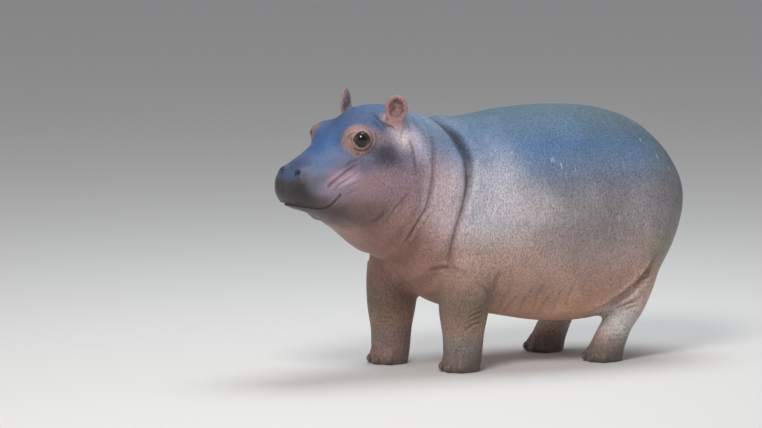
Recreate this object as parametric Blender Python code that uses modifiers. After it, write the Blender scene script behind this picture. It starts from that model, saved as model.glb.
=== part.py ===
"""Common hippopotamus calf, standing still: a life-size museum-type model.

The calf faces -X, its left side is -Y and up is +Z, in metres. Its flat soles lie on z = 0.
The flesh is lofted from oval sections, grown together, modelled with folds and bumps, and then
parted into head, jaw, neck, trunk, tail, legs and feet by thin cuts.
"""
import math

import bmesh
import bpy
import numpy as np
from mathutils import Matrix, Vector

# ---- Driving dimensions, metres and degrees ----
OBJECT_NAME = "hippopotamus_calf"
GAP = 0.0003
SEAT_GAP = 0.0004
GROW_VOXEL = 0.0060
RING_POINTS = 40
FLESH_TRIANGLES = 3850

# Head: turned toward the calf's left, measured along its own forward line from the nape
HEAD_NAPE = Vector((-0.400, 0.0, 0.0))
HEAD_YAW = 10.0
EYE_AHEAD = 0.196
EYE_ASIDE = 0.0755
EYE_HEIGHT = 0.5610
EYE_RADIUS = 0.0215
EYE_FACETS = 16
EYE_RINGS = 10
EAR_AHEAD = 0.104
EAR_ASIDE = 0.093
EAR_HEIGHT = 0.626
EAR_HALF_HEIGHT = 0.035
EAR_HALF_WIDTH = 0.028
EAR_HALF_DEPTH = 0.013
EAR_TURN = 50.0
EAR_STALK = (0.0165, 0.0225, 0.0340)
EAR_TRIANGLES = 240

# Legs: where each foot stands, and how thick it is
FRONT_LEFT = (-0.306, -0.108)
FRONT_RIGHT = (-0.377, 0.105)
HIND_LEFT = (0.080, -0.112)
HIND_RIGHT = (0.052, 0.112)
FOOT_HEIGHT = 0.050
TOE_ANGLES = (-54.0, -18.0, 18.0, 54.0)
TOE_SIZE = (0.0230, 0.0155, 0.0190)
TOE_REACH = 0.0480
NAIL_WIDTH = 0.0200
NAIL_HEIGHT = 0.0180
NAIL_DEPTH = 0.0080
NAIL_LIFT = 0.0030
NAIL_OUT = 0.0035

# Tail: short, flat from side to side, hanging against the rump
TAIL_ROOT = Vector((0.276, 0.0, 0.450))
TAIL_LENGTH = 0.120
TAIL_HALF_LENGTH = 0.018
TAIL_HALF_WIDTH = 0.014
TAIL_STANDS_OUT = 0.056
TAIL_POINTS = 14
NECK_JOIN = -0.405

# Oval sections: (along, top, bottom, half width, height of the widest place, squareness)
BODY_SECTIONS = (
    (-0.455, 0.588, 0.322, 0.100, 0.450, 2.1),
    (-0.420, 0.602, 0.248, 0.136, 0.440, 2.1),
    (-0.380, 0.601, 0.190, 0.154, 0.430, 2.2),
    (-0.330, 0.586, 0.152, 0.166, 0.410, 2.2),
    (-0.280, 0.583, 0.136, 0.178, 0.390, 2.2),
    (-0.220, 0.586, 0.124, 0.191, 0.370, 2.2),
    (-0.140, 0.596, 0.108, 0.202, 0.350, 2.2),
    (-0.050, 0.600, 0.092, 0.208, 0.340, 2.2),
    (0.040, 0.597, 0.088, 0.208, 0.335, 2.2),
    (0.120, 0.585, 0.098, 0.206, 0.340, 2.2),
    (0.185, 0.562, 0.130, 0.196, 0.350, 2.2),
    (0.240, 0.522, 0.190, 0.170, 0.366, 2.1),
    (0.277, 0.478, 0.255, 0.134, 0.374, 2.0),
    (0.300, 0.434, 0.318, 0.084, 0.376, 2.0),
    (0.309, 0.400, 0.356, 0.030, 0.378, 2.0),
)
HEAD_SECTIONS = (
    (-0.040, 0.590, 0.290, 0.110, 0.450, 2.1),
    (0.010, 0.612, 0.252, 0.130, 0.430, 2.1),
    (0.060, 0.626, 0.259, 0.130, 0.420, 2.1),
    (0.110, 0.630, 0.277, 0.123, 0.415, 2.1),
    (0.160, 0.620, 0.312, 0.109, 0.420, 2.1),
    (0.205, 0.589, 0.346, 0.100, 0.425, 2.1),
    (0.250, 0.554, 0.372, 0.092, 0.432, 2.1),
    (0.290, 0.527, 0.388, 0.083, 0.440, 2.2),
    (0.322, 0.510, 0.398, 0.075, 0.446, 2.4),
    (0.343, 0.498, 0.406, 0.064, 0.450, 2.4),
    (0.356, 0.485, 0.418, 0.047, 0.450, 2.3),
    (0.361, 0.468, 0.435, 0.022, 0.450, 2.0),
)
# Upright sections: (height, shift along X, half length, half width)
FRONT_LEG_SECTIONS = (
    (-0.012, -0.001, 0.038, 0.040),
    (0.000, -0.001, 0.041, 0.042),
    (0.018, -0.001, 0.044, 0.044),
    (0.050, 0.000, 0.047, 0.045),
    (0.085, 0.001, 0.050, 0.046),
    (0.130, 0.002, 0.059, 0.052),
    (0.180, 0.004, 0.064, 0.056),
    (0.240, 0.010, 0.066, 0.056),
    (0.300, 0.020, 0.050, 0.046),
)
HIND_LEG_SECTIONS = (
    (-0.012, -0.003, 0.038, 0.040),
    (0.000, -0.003, 0.041, 0.041),
    (0.018, -0.002, 0.043, 0.043),
    (0.048, 0.010, 0.042, 0.040),
    (0.075, 0.024, 0.041, 0.040),
    (0.105, 0.047, 0.043, 0.042),
    (0.150, 0.065, 0.049, 0.050),
    (0.200, 0.069, 0.064, 0.060),
    (0.260, 0.071, 0.076, 0.065),
    (0.320, 0.070, 0.058, 0.054),
)


# Neck folds: heights, the place along X at each height, depth and half width
FRONT_FOLD_HEIGHTS = (0.26, 0.34, 0.39, 0.44, 0.55, 0.60)
FRONT_FOLD_PLACES = (-0.500, -0.470, -0.431, -0.422, -0.405, -0.400)
REAR_FOLD_HEIGHTS = (0.20, 0.30, 0.40, 0.50, 0.60)
REAR_FOLD_PLACES = (-0.375, -0.357, -0.339, -0.319, -0.324)
NECK_FOLDS = (
    (FRONT_FOLD_HEIGHTS, FRONT_FOLD_PLACES, 0.0055, 0.013),
    (REAR_FOLD_HEIGHTS, REAR_FOLD_PLACES, 0.0085, 0.013),
)
ROLL_BEHIND = 0.030
ROLL_RISE = 0.0045
ROLL_HALF_WIDTH = 0.022
FOLDS_START = 0.16
FOLDS_FADE = 0.05

# Cuts between body parts: a block for each leg, standing at a pivot and tilted about Y
LEG_CUTS = (
    ("front_left_leg", (-0.09, -0.12, -0.40), (0.085, 0.085, 0.0), (-0.306, -0.108, 0.200), 0.0),
    ("front_right_leg", (-0.12, -0.085, -0.40), (0.100, 0.12, 0.0), (-0.377, 0.105, 0.215), 0.0),
    ("hind_left_leg", (-0.20, -0.14, -0.40), (0.40, 0.092, 0.0), (0.045, -0.112, 0.118), -43.0),
    ("hind_right_leg", (-0.20, -0.092, -0.40), (0.40, 0.14, 0.0), (0.017, 0.112, 0.118), -43.0),
)
HEAD_CUT = (-0.413, 0.0, 0.500)
HEAD_CUT_TILT = 11.0
NECK_CUT = (-0.327, 0.0, 0.500)
NECK_CUT_TILT = 8.5
JAW_BLOCK = ((0.235, -0.10, 0.30), (0.45, 0.10, 0.411))

LEGS = (
    ("front_left", FRONT_LEG_SECTIONS, FRONT_LEFT),
    ("front_right", FRONT_LEG_SECTIONS, FRONT_RIGHT),
    ("hind_left", HIND_LEG_SECTIONS, HIND_LEFT),
    ("hind_right", HIND_LEG_SECTIONS, HIND_RIGHT),
)


# ---- Small helpers ----
def clear_scene():
    for old in list(bpy.data.objects):
        bpy.data.objects.remove(old, do_unlink=True)
    for old in list(bpy.data.meshes):
        bpy.data.meshes.remove(old)


def new_collection(name):
    made = bpy.data.collections.new(name)
    bpy.context.scene.collection.children.link(made)
    return made


def new_object(name, mesh, collection):
    obj = bpy.data.objects.new(name, mesh)
    collection.objects.link(obj)
    return obj


def flow(sections, count):
    """Sections read off a smooth curve through the given ones, evenly spread along it."""
    table = np.array(sections, dtype=float)
    knots = np.concatenate([[0.0], np.cumsum(np.linalg.norm(np.diff(table[:, :3], axis=0), axis=1))])
    slopes = np.gradient(table, knots, axis=0)
    where = np.linspace(0.0, knots[-1], count)
    cell = np.clip(np.searchsorted(knots, where, side="right") - 1, 0, len(knots) - 2)
    span = (knots[cell + 1] - knots[cell])[:, None]
    t = (where - knots[cell])[:, None] / span
    near = (2 * t**3 - 3 * t**2 + 1) * table[cell] + (t**3 - 2 * t**2 + t) * span * slopes[cell]
    far = (-2 * t**3 + 3 * t**2) * table[cell + 1] + (t**3 - t**2) * span * slopes[cell + 1]
    return near + far


def oval(top, bottom, half_width, widest, power):
    """Across and up positions round one egg-shaped section."""
    turn = np.linspace(0.0, 2.0 * math.pi, RING_POINTS, endpoint=False)
    across = half_width * np.sign(np.cos(turn)) * np.abs(np.cos(turn)) ** (2.0 / power)
    rise = np.abs(np.sin(turn)) ** (2.0 / power)
    up = np.where(np.sin(turn) >= 0.0, widest + (top - widest) * rise, widest - (widest - bottom) * rise)
    return across, up


def loft(name, rings, collection):
    """One closed body through rings of equal point counts."""
    count = len(rings[0])
    points = np.concatenate(rings)
    faces = [tuple(range(count))]
    for ring in range(len(rings) - 1):
        for k in range(count):
            after = (k + 1) % count
            low = ring * count
            high = low + count
            faces.append((low + k, high + k, high + after, low + after))
    last = (len(rings) - 1) * count
    faces.append(tuple(last + k for k in reversed(range(count))))
    mesh = bpy.data.meshes.new(name)
    mesh.from_pydata([tuple(p) for p in points], [], faces)
    obj = new_object(name, mesh, collection)
    point_outward(obj)
    return obj


def point_outward(obj):
    work = bmesh.new()
    work.from_mesh(obj.data)
    bmesh.ops.recalc_face_normals(work, faces=work.faces)
    work.to_mesh(obj.data)
    work.free()


def head_point(ahead, aside, height):
    """A place on the head: ahead of the nape, aside to the calf's left, above the floor."""
    yaw = math.radians(HEAD_YAW)
    forward = Vector((-math.cos(yaw), -math.sin(yaw), 0.0))
    left = Vector((math.sin(yaw), -math.cos(yaw), 0.0))
    return HEAD_NAPE + float(ahead) * forward + float(aside) * left + Vector((0.0, 0.0, float(height)))


def ball(name, centre, radii, collection, turn=0.0, segments=24, rings=14):
    """An ellipsoid, turned about Z."""
    mesh = bpy.data.meshes.new(name)
    work = bmesh.new()
    bmesh.ops.create_uvsphere(work, u_segments=segments, v_segments=rings, radius=1.0)
    work.transform(Matrix.Diagonal((*radii, 1.0)))
    work.transform(Matrix.Rotation(math.radians(turn), 4, "Z"))
    work.transform(Matrix.Translation(centre))
    work.to_mesh(mesh)
    work.free()
    return new_object(name, mesh, collection)


def apply_modifier(obj, kind, **settings):
    """Bake one modifier into the object's mesh."""
    modifier = obj.modifiers.new(kind.lower(), kind)
    for key, value in settings.items():
        setattr(modifier, key, value)
    graph = bpy.context.evaluated_depsgraph_get()
    baked = bpy.data.meshes.new_from_object(obj.evaluated_get(graph))
    obj.modifiers.clear()
    obj.data = baked
    return obj


def boolean(obj, other, operation):
    return apply_modifier(obj, "BOOLEAN", operation=operation, object=other, solver="EXACT")


def copy_of(obj, name, collection):
    return new_object(name, obj.data.copy(), collection)


def join(pieces, name, collection):
    work = bmesh.new()
    for piece in pieces:
        work.from_mesh(piece.data)
    mesh = bpy.data.meshes.new(name)
    work.to_mesh(mesh)
    work.free()
    return new_object(name, mesh, collection)


def coordinates(obj):
    flat = np.empty(len(obj.data.vertices) * 3)
    obj.data.vertices.foreach_get("co", flat)
    return flat.reshape(-1, 3)


def normals(obj):
    flat = np.empty(len(obj.data.vertices) * 3)
    obj.data.vertex_normals.foreach_get("vector", flat)
    return flat.reshape(-1, 3)


def move_to(obj, points):
    obj.data.vertices.foreach_set("co", points.ravel())
    obj.data.update()


# ---- Flesh: the forms that grow together ----
def body_rings():
    rings = []
    for along, top, bottom, width, widest, power in flow(BODY_SECTIONS, 60):
        across, up = oval(top, bottom, width, widest, power)
        rings.append(np.column_stack([np.full(RING_POINTS, along), across, up]))
    return rings


def head_rings():
    rings = []
    for ahead, top, bottom, width, widest, power in flow(HEAD_SECTIONS, 56):
        across, up = oval(top, bottom, width, widest, power)
        rings.append(np.array([head_point(ahead, a, u) for a, u in zip(across, up)]))
    return rings


def leg_rings(sections, foot):
    turn = np.linspace(0.0, 2.0 * math.pi, RING_POINTS, endpoint=False)
    rings = []
    for height, shift, length, width in flow(sections, 40):
        along = foot[0] + shift + length * np.cos(turn)
        across = foot[1] + width * np.sin(turn)
        rings.append(np.column_stack([along, across, np.full(RING_POINTS, height)]))
    return rings


def toe_forms(name, foot, collection):
    """Four blunt toes fanned round the front of a foot."""
    made = []
    for number, angle in enumerate(TOE_ANGLES):
        radians = math.radians(angle)
        centre = Vector((foot[0] - 0.035 * math.cos(radians), foot[1] - 0.037 * math.sin(radians), 0.011))
        made.append(ball(f"{name}_toe_{number}", centre, TOE_SIZE, collection, turn=angle))
    return made


def tail_rings():
    """Oval rings down the tail, which leaves the rump and hangs down."""
    rings = []
    turn = np.linspace(0.0, 2.0 * math.pi, TAIL_POINTS, endpoint=False)
    for share in np.linspace(-0.20, 1.0, 11):
        out = TAIL_STANDS_OUT * math.sin(min(1.0, share * 1.5) * math.pi / 2)
        taper = 1.0 - 0.45 * share
        if share > 0.95:
            taper = 0.30
        along = TAIL_ROOT.x + out + TAIL_HALF_LENGTH * taper * np.cos(turn)
        across = TAIL_HALF_WIDTH * taper * np.sin(turn)
        height = np.full(TAIL_POINTS, TAIL_ROOT.z - TAIL_LENGTH * share)
        rings.append(np.column_stack([along, across, height]))
    return rings


# One ball of flesh on each side of the head: (name, ahead, aside, height, radii)
HEAD_PADS = (
    ("orbit", 0.190, 0.052, 0.5585, (0.046, 0.036, 0.0375)),
    ("lip", 0.299, 0.046, 0.446, (0.050, 0.037, 0.042)),
    ("nostril", 0.332, 0.028, 0.4840, (0.025, 0.019, 0.0185)),
    ("jowl", 0.165, 0.062, 0.408, (0.088, 0.056, 0.060)),
    ("cheek", 0.215, 0.048, 0.430, (0.066, 0.052, 0.054)),
)


def grow_flesh(forms):
    """All the forms made one skin of even mesh, softened where they meet."""
    pieces = [loft("form_body", body_rings(), forms), loft("form_head", head_rings(), forms)]
    for name, sections, foot in LEGS:
        pieces.append(loft(f"form_{name}", leg_rings(sections, foot), forms))
        pieces.extend(toe_forms(f"form_{name}", foot, forms))
    for side in (-1.0, 1.0):
        for name, ahead, aside, height, radii in HEAD_PADS:
            centre = head_point(ahead, side * aside, height)
            pieces.append(ball(f"form_{name}", centre, radii, forms, turn=HEAD_YAW))
    flesh = join(pieces, "flesh", forms)
    apply_modifier(flesh, "REMESH", mode="VOXEL", voxel_size=GROW_VOXEL)
    soften(flesh)
    return flesh


def soften(flesh):
    """Rounds the flesh, most of all where legs and neck join the trunk."""
    apply_modifier(flesh, "SMOOTH", factor=0.5, iterations=4)
    points = coordinates(flesh)
    weight = np.zeros(len(points))
    for _, sections, foot in LEGS:
        top = np.array([foot[0] + sections[-3][1], foot[1], 0.200])
        away = np.linalg.norm((points - top) / np.array([0.110, 0.110, 0.085]), axis=1)
        weight = np.maximum(weight, np.clip(1.6 - away, 0.0, 1.0))
    collar = np.abs(points[:, 0] - NECK_JOIN)
    weight = np.maximum(weight, np.clip(1.5 - collar / 0.040, 0.0, 1.0))
    head = np.array(head_point(0.17, 0.0, 0.46))
    away = np.linalg.norm((points - head) / np.array([0.13, 0.16, 0.14]), axis=1)
    weight = np.maximum(weight, 0.6 * np.clip(1.8 - away, 0.0, 1.0))
    group = flesh.vertex_groups.new(name="joins")
    for index in np.nonzero(weight > 0.01)[0]:
        group.add([int(index)], float(weight[index]), "REPLACE")
    apply_modifier(flesh, "SMOOTH", factor=0.5, iterations=14, vertex_group="joins")


def groove(across, depth, half_width):
    """How far in a point goes for a fold running along the line where across is zero."""
    return depth * np.exp(-((across / half_width) ** 2))


def shape_folds(flesh):
    """The two neck folds and the roll behind the rear one."""
    points = coordinates(flesh)
    outward = normals(flesh)
    height = points[:, 2]
    sunk = np.zeros(len(points))
    for heights, places, depth, half_width in NECK_FOLDS:
        ahead = points[:, 0] - np.interp(height, heights, places)
        sunk += groove(ahead, depth, half_width)
    rear = points[:, 0] - np.interp(height, REAR_FOLD_HEIGHTS, REAR_FOLD_PLACES)
    sunk -= groove(rear - ROLL_BEHIND, ROLL_RISE, ROLL_HALF_WIDTH)
    leg_low = np.clip((height - FOLDS_START) / FOLDS_FADE, 0.0, 1.0)
    move_to(flesh, points - outward * (sunk * leg_low)[:, None])
    apply_modifier(flesh, "SMOOTH", factor=0.5, iterations=2)


def thin_out(flesh):
    """Fewer faces for the solid, the most kept where it bends the most."""
    apply_modifier(flesh, "TRIANGULATE")
    apply_modifier(flesh, "DECIMATE", ratio=FLESH_TRIANGLES / len(flesh.data.polygons))


def box(name, low, high, collection, matrix=None):
    """A plain block between two corners, then placed by a matrix."""
    mesh = bpy.data.meshes.new(name)
    work = bmesh.new()
    bmesh.ops.create_cube(work, size=1.0)
    low = Vector(low)
    high = Vector(high)
    work.transform(Matrix.Translation((low + high) / 2) @ Matrix.Diagonal((*(high - low), 1.0)))
    if matrix is not None:
        work.transform(matrix)
    work.to_mesh(mesh)
    work.free()
    return new_object(name, mesh, collection)


def grown(obj, name, distance, collection):
    """A copy whose skin stands a little farther out."""
    made = copy_of(obj, name, collection)
    move_to(made, coordinates(made) + normals(made) * distance)
    return made


def cut_off(whole, name, low, high, matrix, collection, forms):
    """Takes the part of a body inside a block off it, leaving a thin gap between the two."""
    blade = box(f"{name}_blade", low, high, forms, matrix)
    wide = box(f"{name}_wide", [v - GAP for v in low], [v + GAP for v in high], forms, matrix)
    piece = copy_of(whole, name, collection)
    boolean(piece, blade, "INTERSECT")
    boolean(whole, wide, "DIFFERENCE")
    return piece


def head_matrix():
    """From the head's own directions (ahead, aside, up) to the calf's."""
    yaw = math.radians(HEAD_YAW)
    turn = Matrix(
        (
            (-math.cos(yaw), math.sin(yaw), 0.0, HEAD_NAPE.x),
            (-math.sin(yaw), -math.cos(yaw), 0.0, HEAD_NAPE.y),
            (0.0, 0.0, 1.0, 0.0),
            (0.0, 0.0, 0.0, 1.0),
        )
    )
    return turn


def part_flesh(flesh, parts, forms):
    """The grown flesh parted into the calf's body parts."""
    far = 0.6
    below = box("floor_block", (-2.0, -2.0, -1.0), (2.0, 2.0, 0.0), forms)
    boolean(flesh, below, "DIFFERENCE")
    made = {}
    for name, low, high, pivot, tilt in LEG_CUTS:
        matrix = Matrix.Translation(pivot) @ Matrix.Rotation(math.radians(tilt), 4, "Y")
        made[name] = cut_off(flesh, name, low, high, matrix, parts, forms)
    for name in [leg[0] for leg in LEG_CUTS]:
        foot = name.replace("_leg", "_foot")
        low = (-1.0, -1.0, -0.1)
        high = (1.0, 1.0, FOOT_HEIGHT)
        made[foot] = cut_off(made[name], foot, low, high, None, parts, forms)
    for name, place, tilt in (("head", HEAD_CUT, HEAD_CUT_TILT), ("neck", NECK_CUT, NECK_CUT_TILT)):
        matrix = Matrix.Translation(place) @ Matrix.Rotation(math.radians(tilt), 4, "Y")
        made[name] = cut_off(flesh, name, (-1.0, -far, -far), (0.0, far, far), matrix, parts, forms)
    made["trunk"] = copy_of(flesh, "trunk", parts)
    low, high = JAW_BLOCK
    made["lower_jaw"] = cut_off(made["head"], "lower_jaw", low, high, head_matrix(), parts, forms)
    return made


def ear(side, name, head, parts, forms):
    """A round, cupped ear on a short stalk, open to the front and side."""
    yaw = math.radians(HEAD_YAW)
    turn = yaw + side * math.radians(EAR_TURN)
    open_way = Vector((-math.cos(turn), -math.sin(turn), 0.0))
    out_way = head_point(0.0, side, 0.0) - head_point(0.0, 0.0, 0.0)
    degrees = math.degrees(turn)
    middle = head_point(EAR_AHEAD, side * EAR_ASIDE, EAR_HEIGHT)
    shell_size = (EAR_HALF_DEPTH, EAR_HALF_WIDTH, EAR_HALF_HEIGHT)
    shell = ball(f"{name}_form", middle, shell_size, forms, turn=degrees)
    foot_place = middle - 0.038 * Vector((0, 0, 1)) - 0.008 * out_way - 0.004 * open_way
    stalk = ball(f"{name}_stalk", foot_place, EAR_STALK, forms, turn=degrees)
    hollow_place = middle + 0.0125 * open_way + 0.001 * Vector((0, 0, 1))
    hollow_size = (0.0125, EAR_HALF_WIDTH - 0.007, EAR_HALF_HEIGHT - 0.008)
    hollow = ball(f"{name}_hollow", hollow_place, hollow_size, forms, turn=degrees)
    boolean(shell, stalk, "UNION")
    boolean(shell, hollow, "DIFFERENCE")
    apply_modifier(shell, "REMESH", mode="VOXEL", voxel_size=0.0028)
    apply_modifier(shell, "SMOOTH", factor=0.5, iterations=5)
    apply_modifier(shell, "TRIANGULATE")
    apply_modifier(shell, "DECIMATE", ratio=EAR_TRIANGLES / len(shell.data.polygons))
    made = copy_of(shell, name, parts)
    boolean(made, grown(head, f"{name}_seat", SEAT_GAP, forms), "DIFFERENCE")
    return made


def eye(side, name, head, parts, forms):
    """A whole eyeball in its socket."""
    centre = head_point(EYE_AHEAD, side * EYE_ASIDE, EYE_HEIGHT)
    size = (EYE_RADIUS,) * 3
    seat_size = (EYE_RADIUS + SEAT_GAP,) * 3
    socket = ball(f"{name}_socket", centre, seat_size, forms, segments=EYE_FACETS, rings=EYE_RINGS)
    boolean(head, socket, "DIFFERENCE")
    return ball(name, centre, size, parts, segments=EYE_FACETS, rings=EYE_RINGS)


def nails(leg, foot, body, parts, forms):
    """Four blunt nails on the front of the toes, seated on the foot."""
    seat = grown(body, f"{leg}_seat", SEAT_GAP, forms)
    grown_nails = {}
    for number, angle in enumerate(TOE_ANGLES, start=1):
        radians = math.radians(angle)
        out = Vector((-math.cos(radians), -math.sin(radians), 0.0))
        centre = Vector((*foot, NAIL_LIFT + NAIL_HEIGHT / 2)) + (TOE_REACH + NAIL_OUT) * out
        size = (NAIL_DEPTH, NAIL_WIDTH / 2, NAIL_HEIGHT / 2)
        nail = ball(f"{leg}_nail_{number}", centre, size, parts, turn=angle, segments=8, rings=5)
        boolean(nail, seat, "DIFFERENCE")
        grown_nails[nail.name] = nail
    return grown_nails


def material(name, colour, roughness):
    made = bpy.data.materials.new(name)
    made.use_nodes = True
    surface = made.node_tree.nodes["Principled BSDF"]
    surface.inputs["Base Color"].default_value = (*colour, 1.0)
    surface.inputs["Roughness"].default_value = roughness
    return made


def keep_largest(obj):
    """Drops the crumbs a cut can leave beside a body."""
    work = bmesh.new()
    work.from_mesh(obj.data)
    unseen = set(work.verts)
    groups = []
    while unseen:
        group = set()
        front = [unseen.pop()]
        while front:
            vert = front.pop()
            group.add(vert)
            for edge in vert.link_edges:
                other = edge.other_vert(vert)
                if other in unseen:
                    unseen.discard(other)
                    front.append(other)
        groups.append(group)
    groups.sort(key=len)
    crumbs = [vert for group in groups[:-1] for vert in group]
    bmesh.ops.delete(work, geom=crumbs, context="VERTS")
    work.to_mesh(obj.data)
    work.free()


def settle_origin(objects):
    """Puts z = 0 on the soles, the middle of the whole model on the Z axis, and each origin mid-part."""
    everything = np.concatenate([coordinates(obj) for obj in objects])
    low = everything.min(axis=0)
    high = everything.max(axis=0)
    shift = np.array([-(low[0] + high[0]) / 2, -(low[1] + high[1]) / 2, -low[2]])
    for obj in objects:
        points = coordinates(obj) + shift
        middle = (points.min(axis=0) + points.max(axis=0)) / 2
        move_to(obj, points - middle)
        obj.location = middle


clear_scene()
parts = new_collection(OBJECT_NAME)
forms = new_collection("forms_and_cutters")
flesh = grow_flesh(forms)
shape_folds(flesh)
thin_out(flesh)
made = part_flesh(flesh, parts, forms)

# The tail hangs from the rump, the ears and eyes sit on the head, the nails on the feet
made["tail"] = loft("tail", tail_rings(), parts)
boolean(made["tail"], grown(made["trunk"], "tail_seat", SEAT_GAP, forms), "DIFFERENCE")
for side, name in ((1.0, "left"), (-1.0, "right")):
    made[f"{name}_ear"] = ear(side, f"{name}_ear", made["head"], parts, forms)
    made[f"{name}_eye"] = eye(side, f"{name}_eye", made["head"], parts, forms)
for leg, _, foot in LEGS:
    made.update(nails(leg, foot, made[f"{leg}_foot"], parts, forms))

skin = material("skin", (0.20, 0.17, 0.18), 0.45)
pink_skin = material("pink_skin", (0.30, 0.17, 0.15), 0.50)
eyeball = material("eyeball", (0.020, 0.015, 0.015), 0.08)
horn = material("horn", (0.10, 0.08, 0.07), 0.45)
for name, obj in made.items():
    keep_largest(obj)
    chosen = skin
    if name.endswith(("_ear", "_leg")):
        chosen = pink_skin
    if name.endswith("_eye"):
        chosen = eyeball
    if "_nail_" in name:
        chosen = horn
    obj.data.materials.clear()
    obj.data.materials.append(chosen)
settle_origin(list(made.values()))
for helper in forms.objects:
    helper.hide_render = True
    helper.display_type = "WIRE"
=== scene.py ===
# %% [markdown]
# # A hippopotamus calf, step by step
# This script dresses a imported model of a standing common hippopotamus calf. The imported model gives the
# body parts as plain solids. Here they get one living skin, wet eyes, nails and bristles, and a studio
# to stand in. Run the cells from top to bottom.

import math

import bmesh
import bpy
import numpy as np
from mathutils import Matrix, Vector
from mathutils.bvhtree import BVHTree


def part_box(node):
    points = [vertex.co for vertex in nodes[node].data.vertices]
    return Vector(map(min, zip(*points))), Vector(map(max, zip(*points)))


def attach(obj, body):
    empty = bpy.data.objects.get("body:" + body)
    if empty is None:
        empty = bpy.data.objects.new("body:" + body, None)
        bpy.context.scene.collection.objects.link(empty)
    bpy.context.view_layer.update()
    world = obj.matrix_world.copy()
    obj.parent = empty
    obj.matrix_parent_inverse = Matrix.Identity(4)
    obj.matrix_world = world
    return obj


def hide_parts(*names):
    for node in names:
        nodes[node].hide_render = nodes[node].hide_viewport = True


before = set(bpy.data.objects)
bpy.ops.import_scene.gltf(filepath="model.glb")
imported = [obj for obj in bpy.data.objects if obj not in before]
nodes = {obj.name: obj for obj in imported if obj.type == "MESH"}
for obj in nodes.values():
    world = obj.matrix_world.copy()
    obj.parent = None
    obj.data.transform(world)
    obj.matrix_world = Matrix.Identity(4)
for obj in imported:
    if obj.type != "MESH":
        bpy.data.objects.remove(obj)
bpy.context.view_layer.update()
print("body parts:", len(nodes))

# %% [markdown]
# ## Directions on the head
# A calf turns its head, so places on its face are easiest to say in the head's own directions: ahead of
# the nape, aside to the left, and up. The two eyeballs give those directions, because they sit level and
# square to the face. The same three numbers can then be read off for every point of the skin.

# %% The head's own directions
EYE_AHEAD = 0.196
EYE_HEIGHT = 0.561


def middle_of(node):
    low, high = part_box(node)
    return (low + high) / 2


left_eye, right_eye = middle_of("left_eye"), middle_of("right_eye")
eye_radius = (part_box("left_eye")[1].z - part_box("left_eye")[0].z) / 2
side_way = (left_eye - right_eye).normalized()
ahead_way = side_way.cross(Vector((0, 0, 1))).normalized()
if ahead_way.x > 0:
    ahead_way = -ahead_way
nape = (left_eye + right_eye) / 2 - EYE_AHEAD * ahead_way
nape.z = 0.0


def head_point(ahead, aside, height):
    return nape + float(ahead) * ahead_way + float(aside) * side_way + Vector((0, 0, float(height)))


def head_axes(points):
    """Ahead, aside and up for many points at once."""
    local = points - np.array(nape)
    return local @ np.array(ahead_way), local @ np.array(side_way), points[:, 2]


print("nape", [round(v, 4) for v in nape], "eye radius", round(eye_radius, 4))

# %% [markdown]
# ## One skin over all the flesh
# A live animal has no seams, so the flesh parts are merged into one surface. Voxel remeshing closes the
# hairline gaps between the solids and gives an even mesh, fine enough to model folds in. The solids are
# coarse, so the surface is then smoothed: a lot on the barrel of the body, less on ears and toes.

# %% Merge the flesh
FLESH = [n for n in sorted(nodes) if "_nail_" not in n and not n.endswith("_eye")]
SKIN_VOXEL = 0.0036
SAME_PLACE = 1e-6


def put_in_scene(title, data):
    made = bpy.data.objects.new(title, data)
    bpy.context.scene.collection.objects.link(made)
    return made


def finish_mesh(title, work):
    """Turn a working mesh into an object of the scene."""
    mesh = bpy.data.meshes.new(title)
    work.to_mesh(mesh)
    work.free()
    return put_in_scene(title, mesh)


def merged_copy(names, title):
    work = bmesh.new()
    for name in names:
        work.from_mesh(nodes[name].data)
    bmesh.ops.remove_doubles(work, verts=work.verts, dist=SAME_PLACE)
    return finish_mesh(title, work)


def bake(obj, kind, **settings):
    """Add one modifier and turn its result into the object's own mesh."""
    modifier = obj.modifiers.new(kind, kind)
    for key, value in settings.items():
        setattr(modifier, key, value)
    graph = bpy.context.evaluated_depsgraph_get()
    result = bpy.data.meshes.new_from_object(obj.evaluated_get(graph))
    obj.modifiers.clear()
    obj.data = result


def triples(items, label):
    """The three numbers that every item of a list in a mesh keeps under a label."""
    flat = np.empty(len(items) * 3)
    items.foreach_get(label, flat)
    return flat.reshape(-1, 3)


def points_of(obj):
    return triples(obj.data.vertices, "co")


def normals_of(obj):
    return triples(obj.data.vertex_normals, "vector")


def set_points(obj, points):
    obj.data.vertices.foreach_set("co", np.ascontiguousarray(points).ravel())
    obj.data.update()


# The eyeballs fill their sockets here, so that the lids can be drawn from the skin over them
skin = merged_copy([*FLESH, "left_eye", "right_eye"], "calf_skin")
bake(skin, "REMESH", mode="VOXEL", voxel_size=SKIN_VOXEL)
print("skin after merging:", len(skin.data.polygons), "faces")

# %% Smooth it by region
SMOOTH_ROUNDS = 130
SMOOTH_STEPS = (0.55, -0.50)
LEAST_SMOOTHING = 0.12


def ramp(x, start, end):
    """0 before start, 1 after end, an easy slope between."""
    t = np.clip((x - start) / (end - start), 0.0, 1.0)
    return t * t * (3.0 - 2.0 * t)


def smooth(obj, amount, rounds):
    """Each point moves toward the mean of its neighbours, then partly back, so that forms keep their size."""
    points = points_of(obj)
    flat = np.empty(len(obj.data.edges) * 2, dtype=np.int64)
    obj.data.edges.foreach_get("vertices", flat)
    one, other = flat.reshape(-1, 2).T
    count = np.bincount(flat, minlength=len(points)).astype(float)
    for _ in range(rounds):
        for step in SMOOTH_STEPS:
            mean = np.empty_like(points)
            for k in range(3):
                total = np.bincount(one, points[other, k], len(points))
                total += np.bincount(other, points[one, k], len(points))
                mean[:, k] = total / count
            points += (mean - points) * (step * amount)[:, None]
    set_points(obj, points)


# The middle of an ear: ahead, aside, up
EAR = (0.104, 0.093, 0.626)


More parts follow.
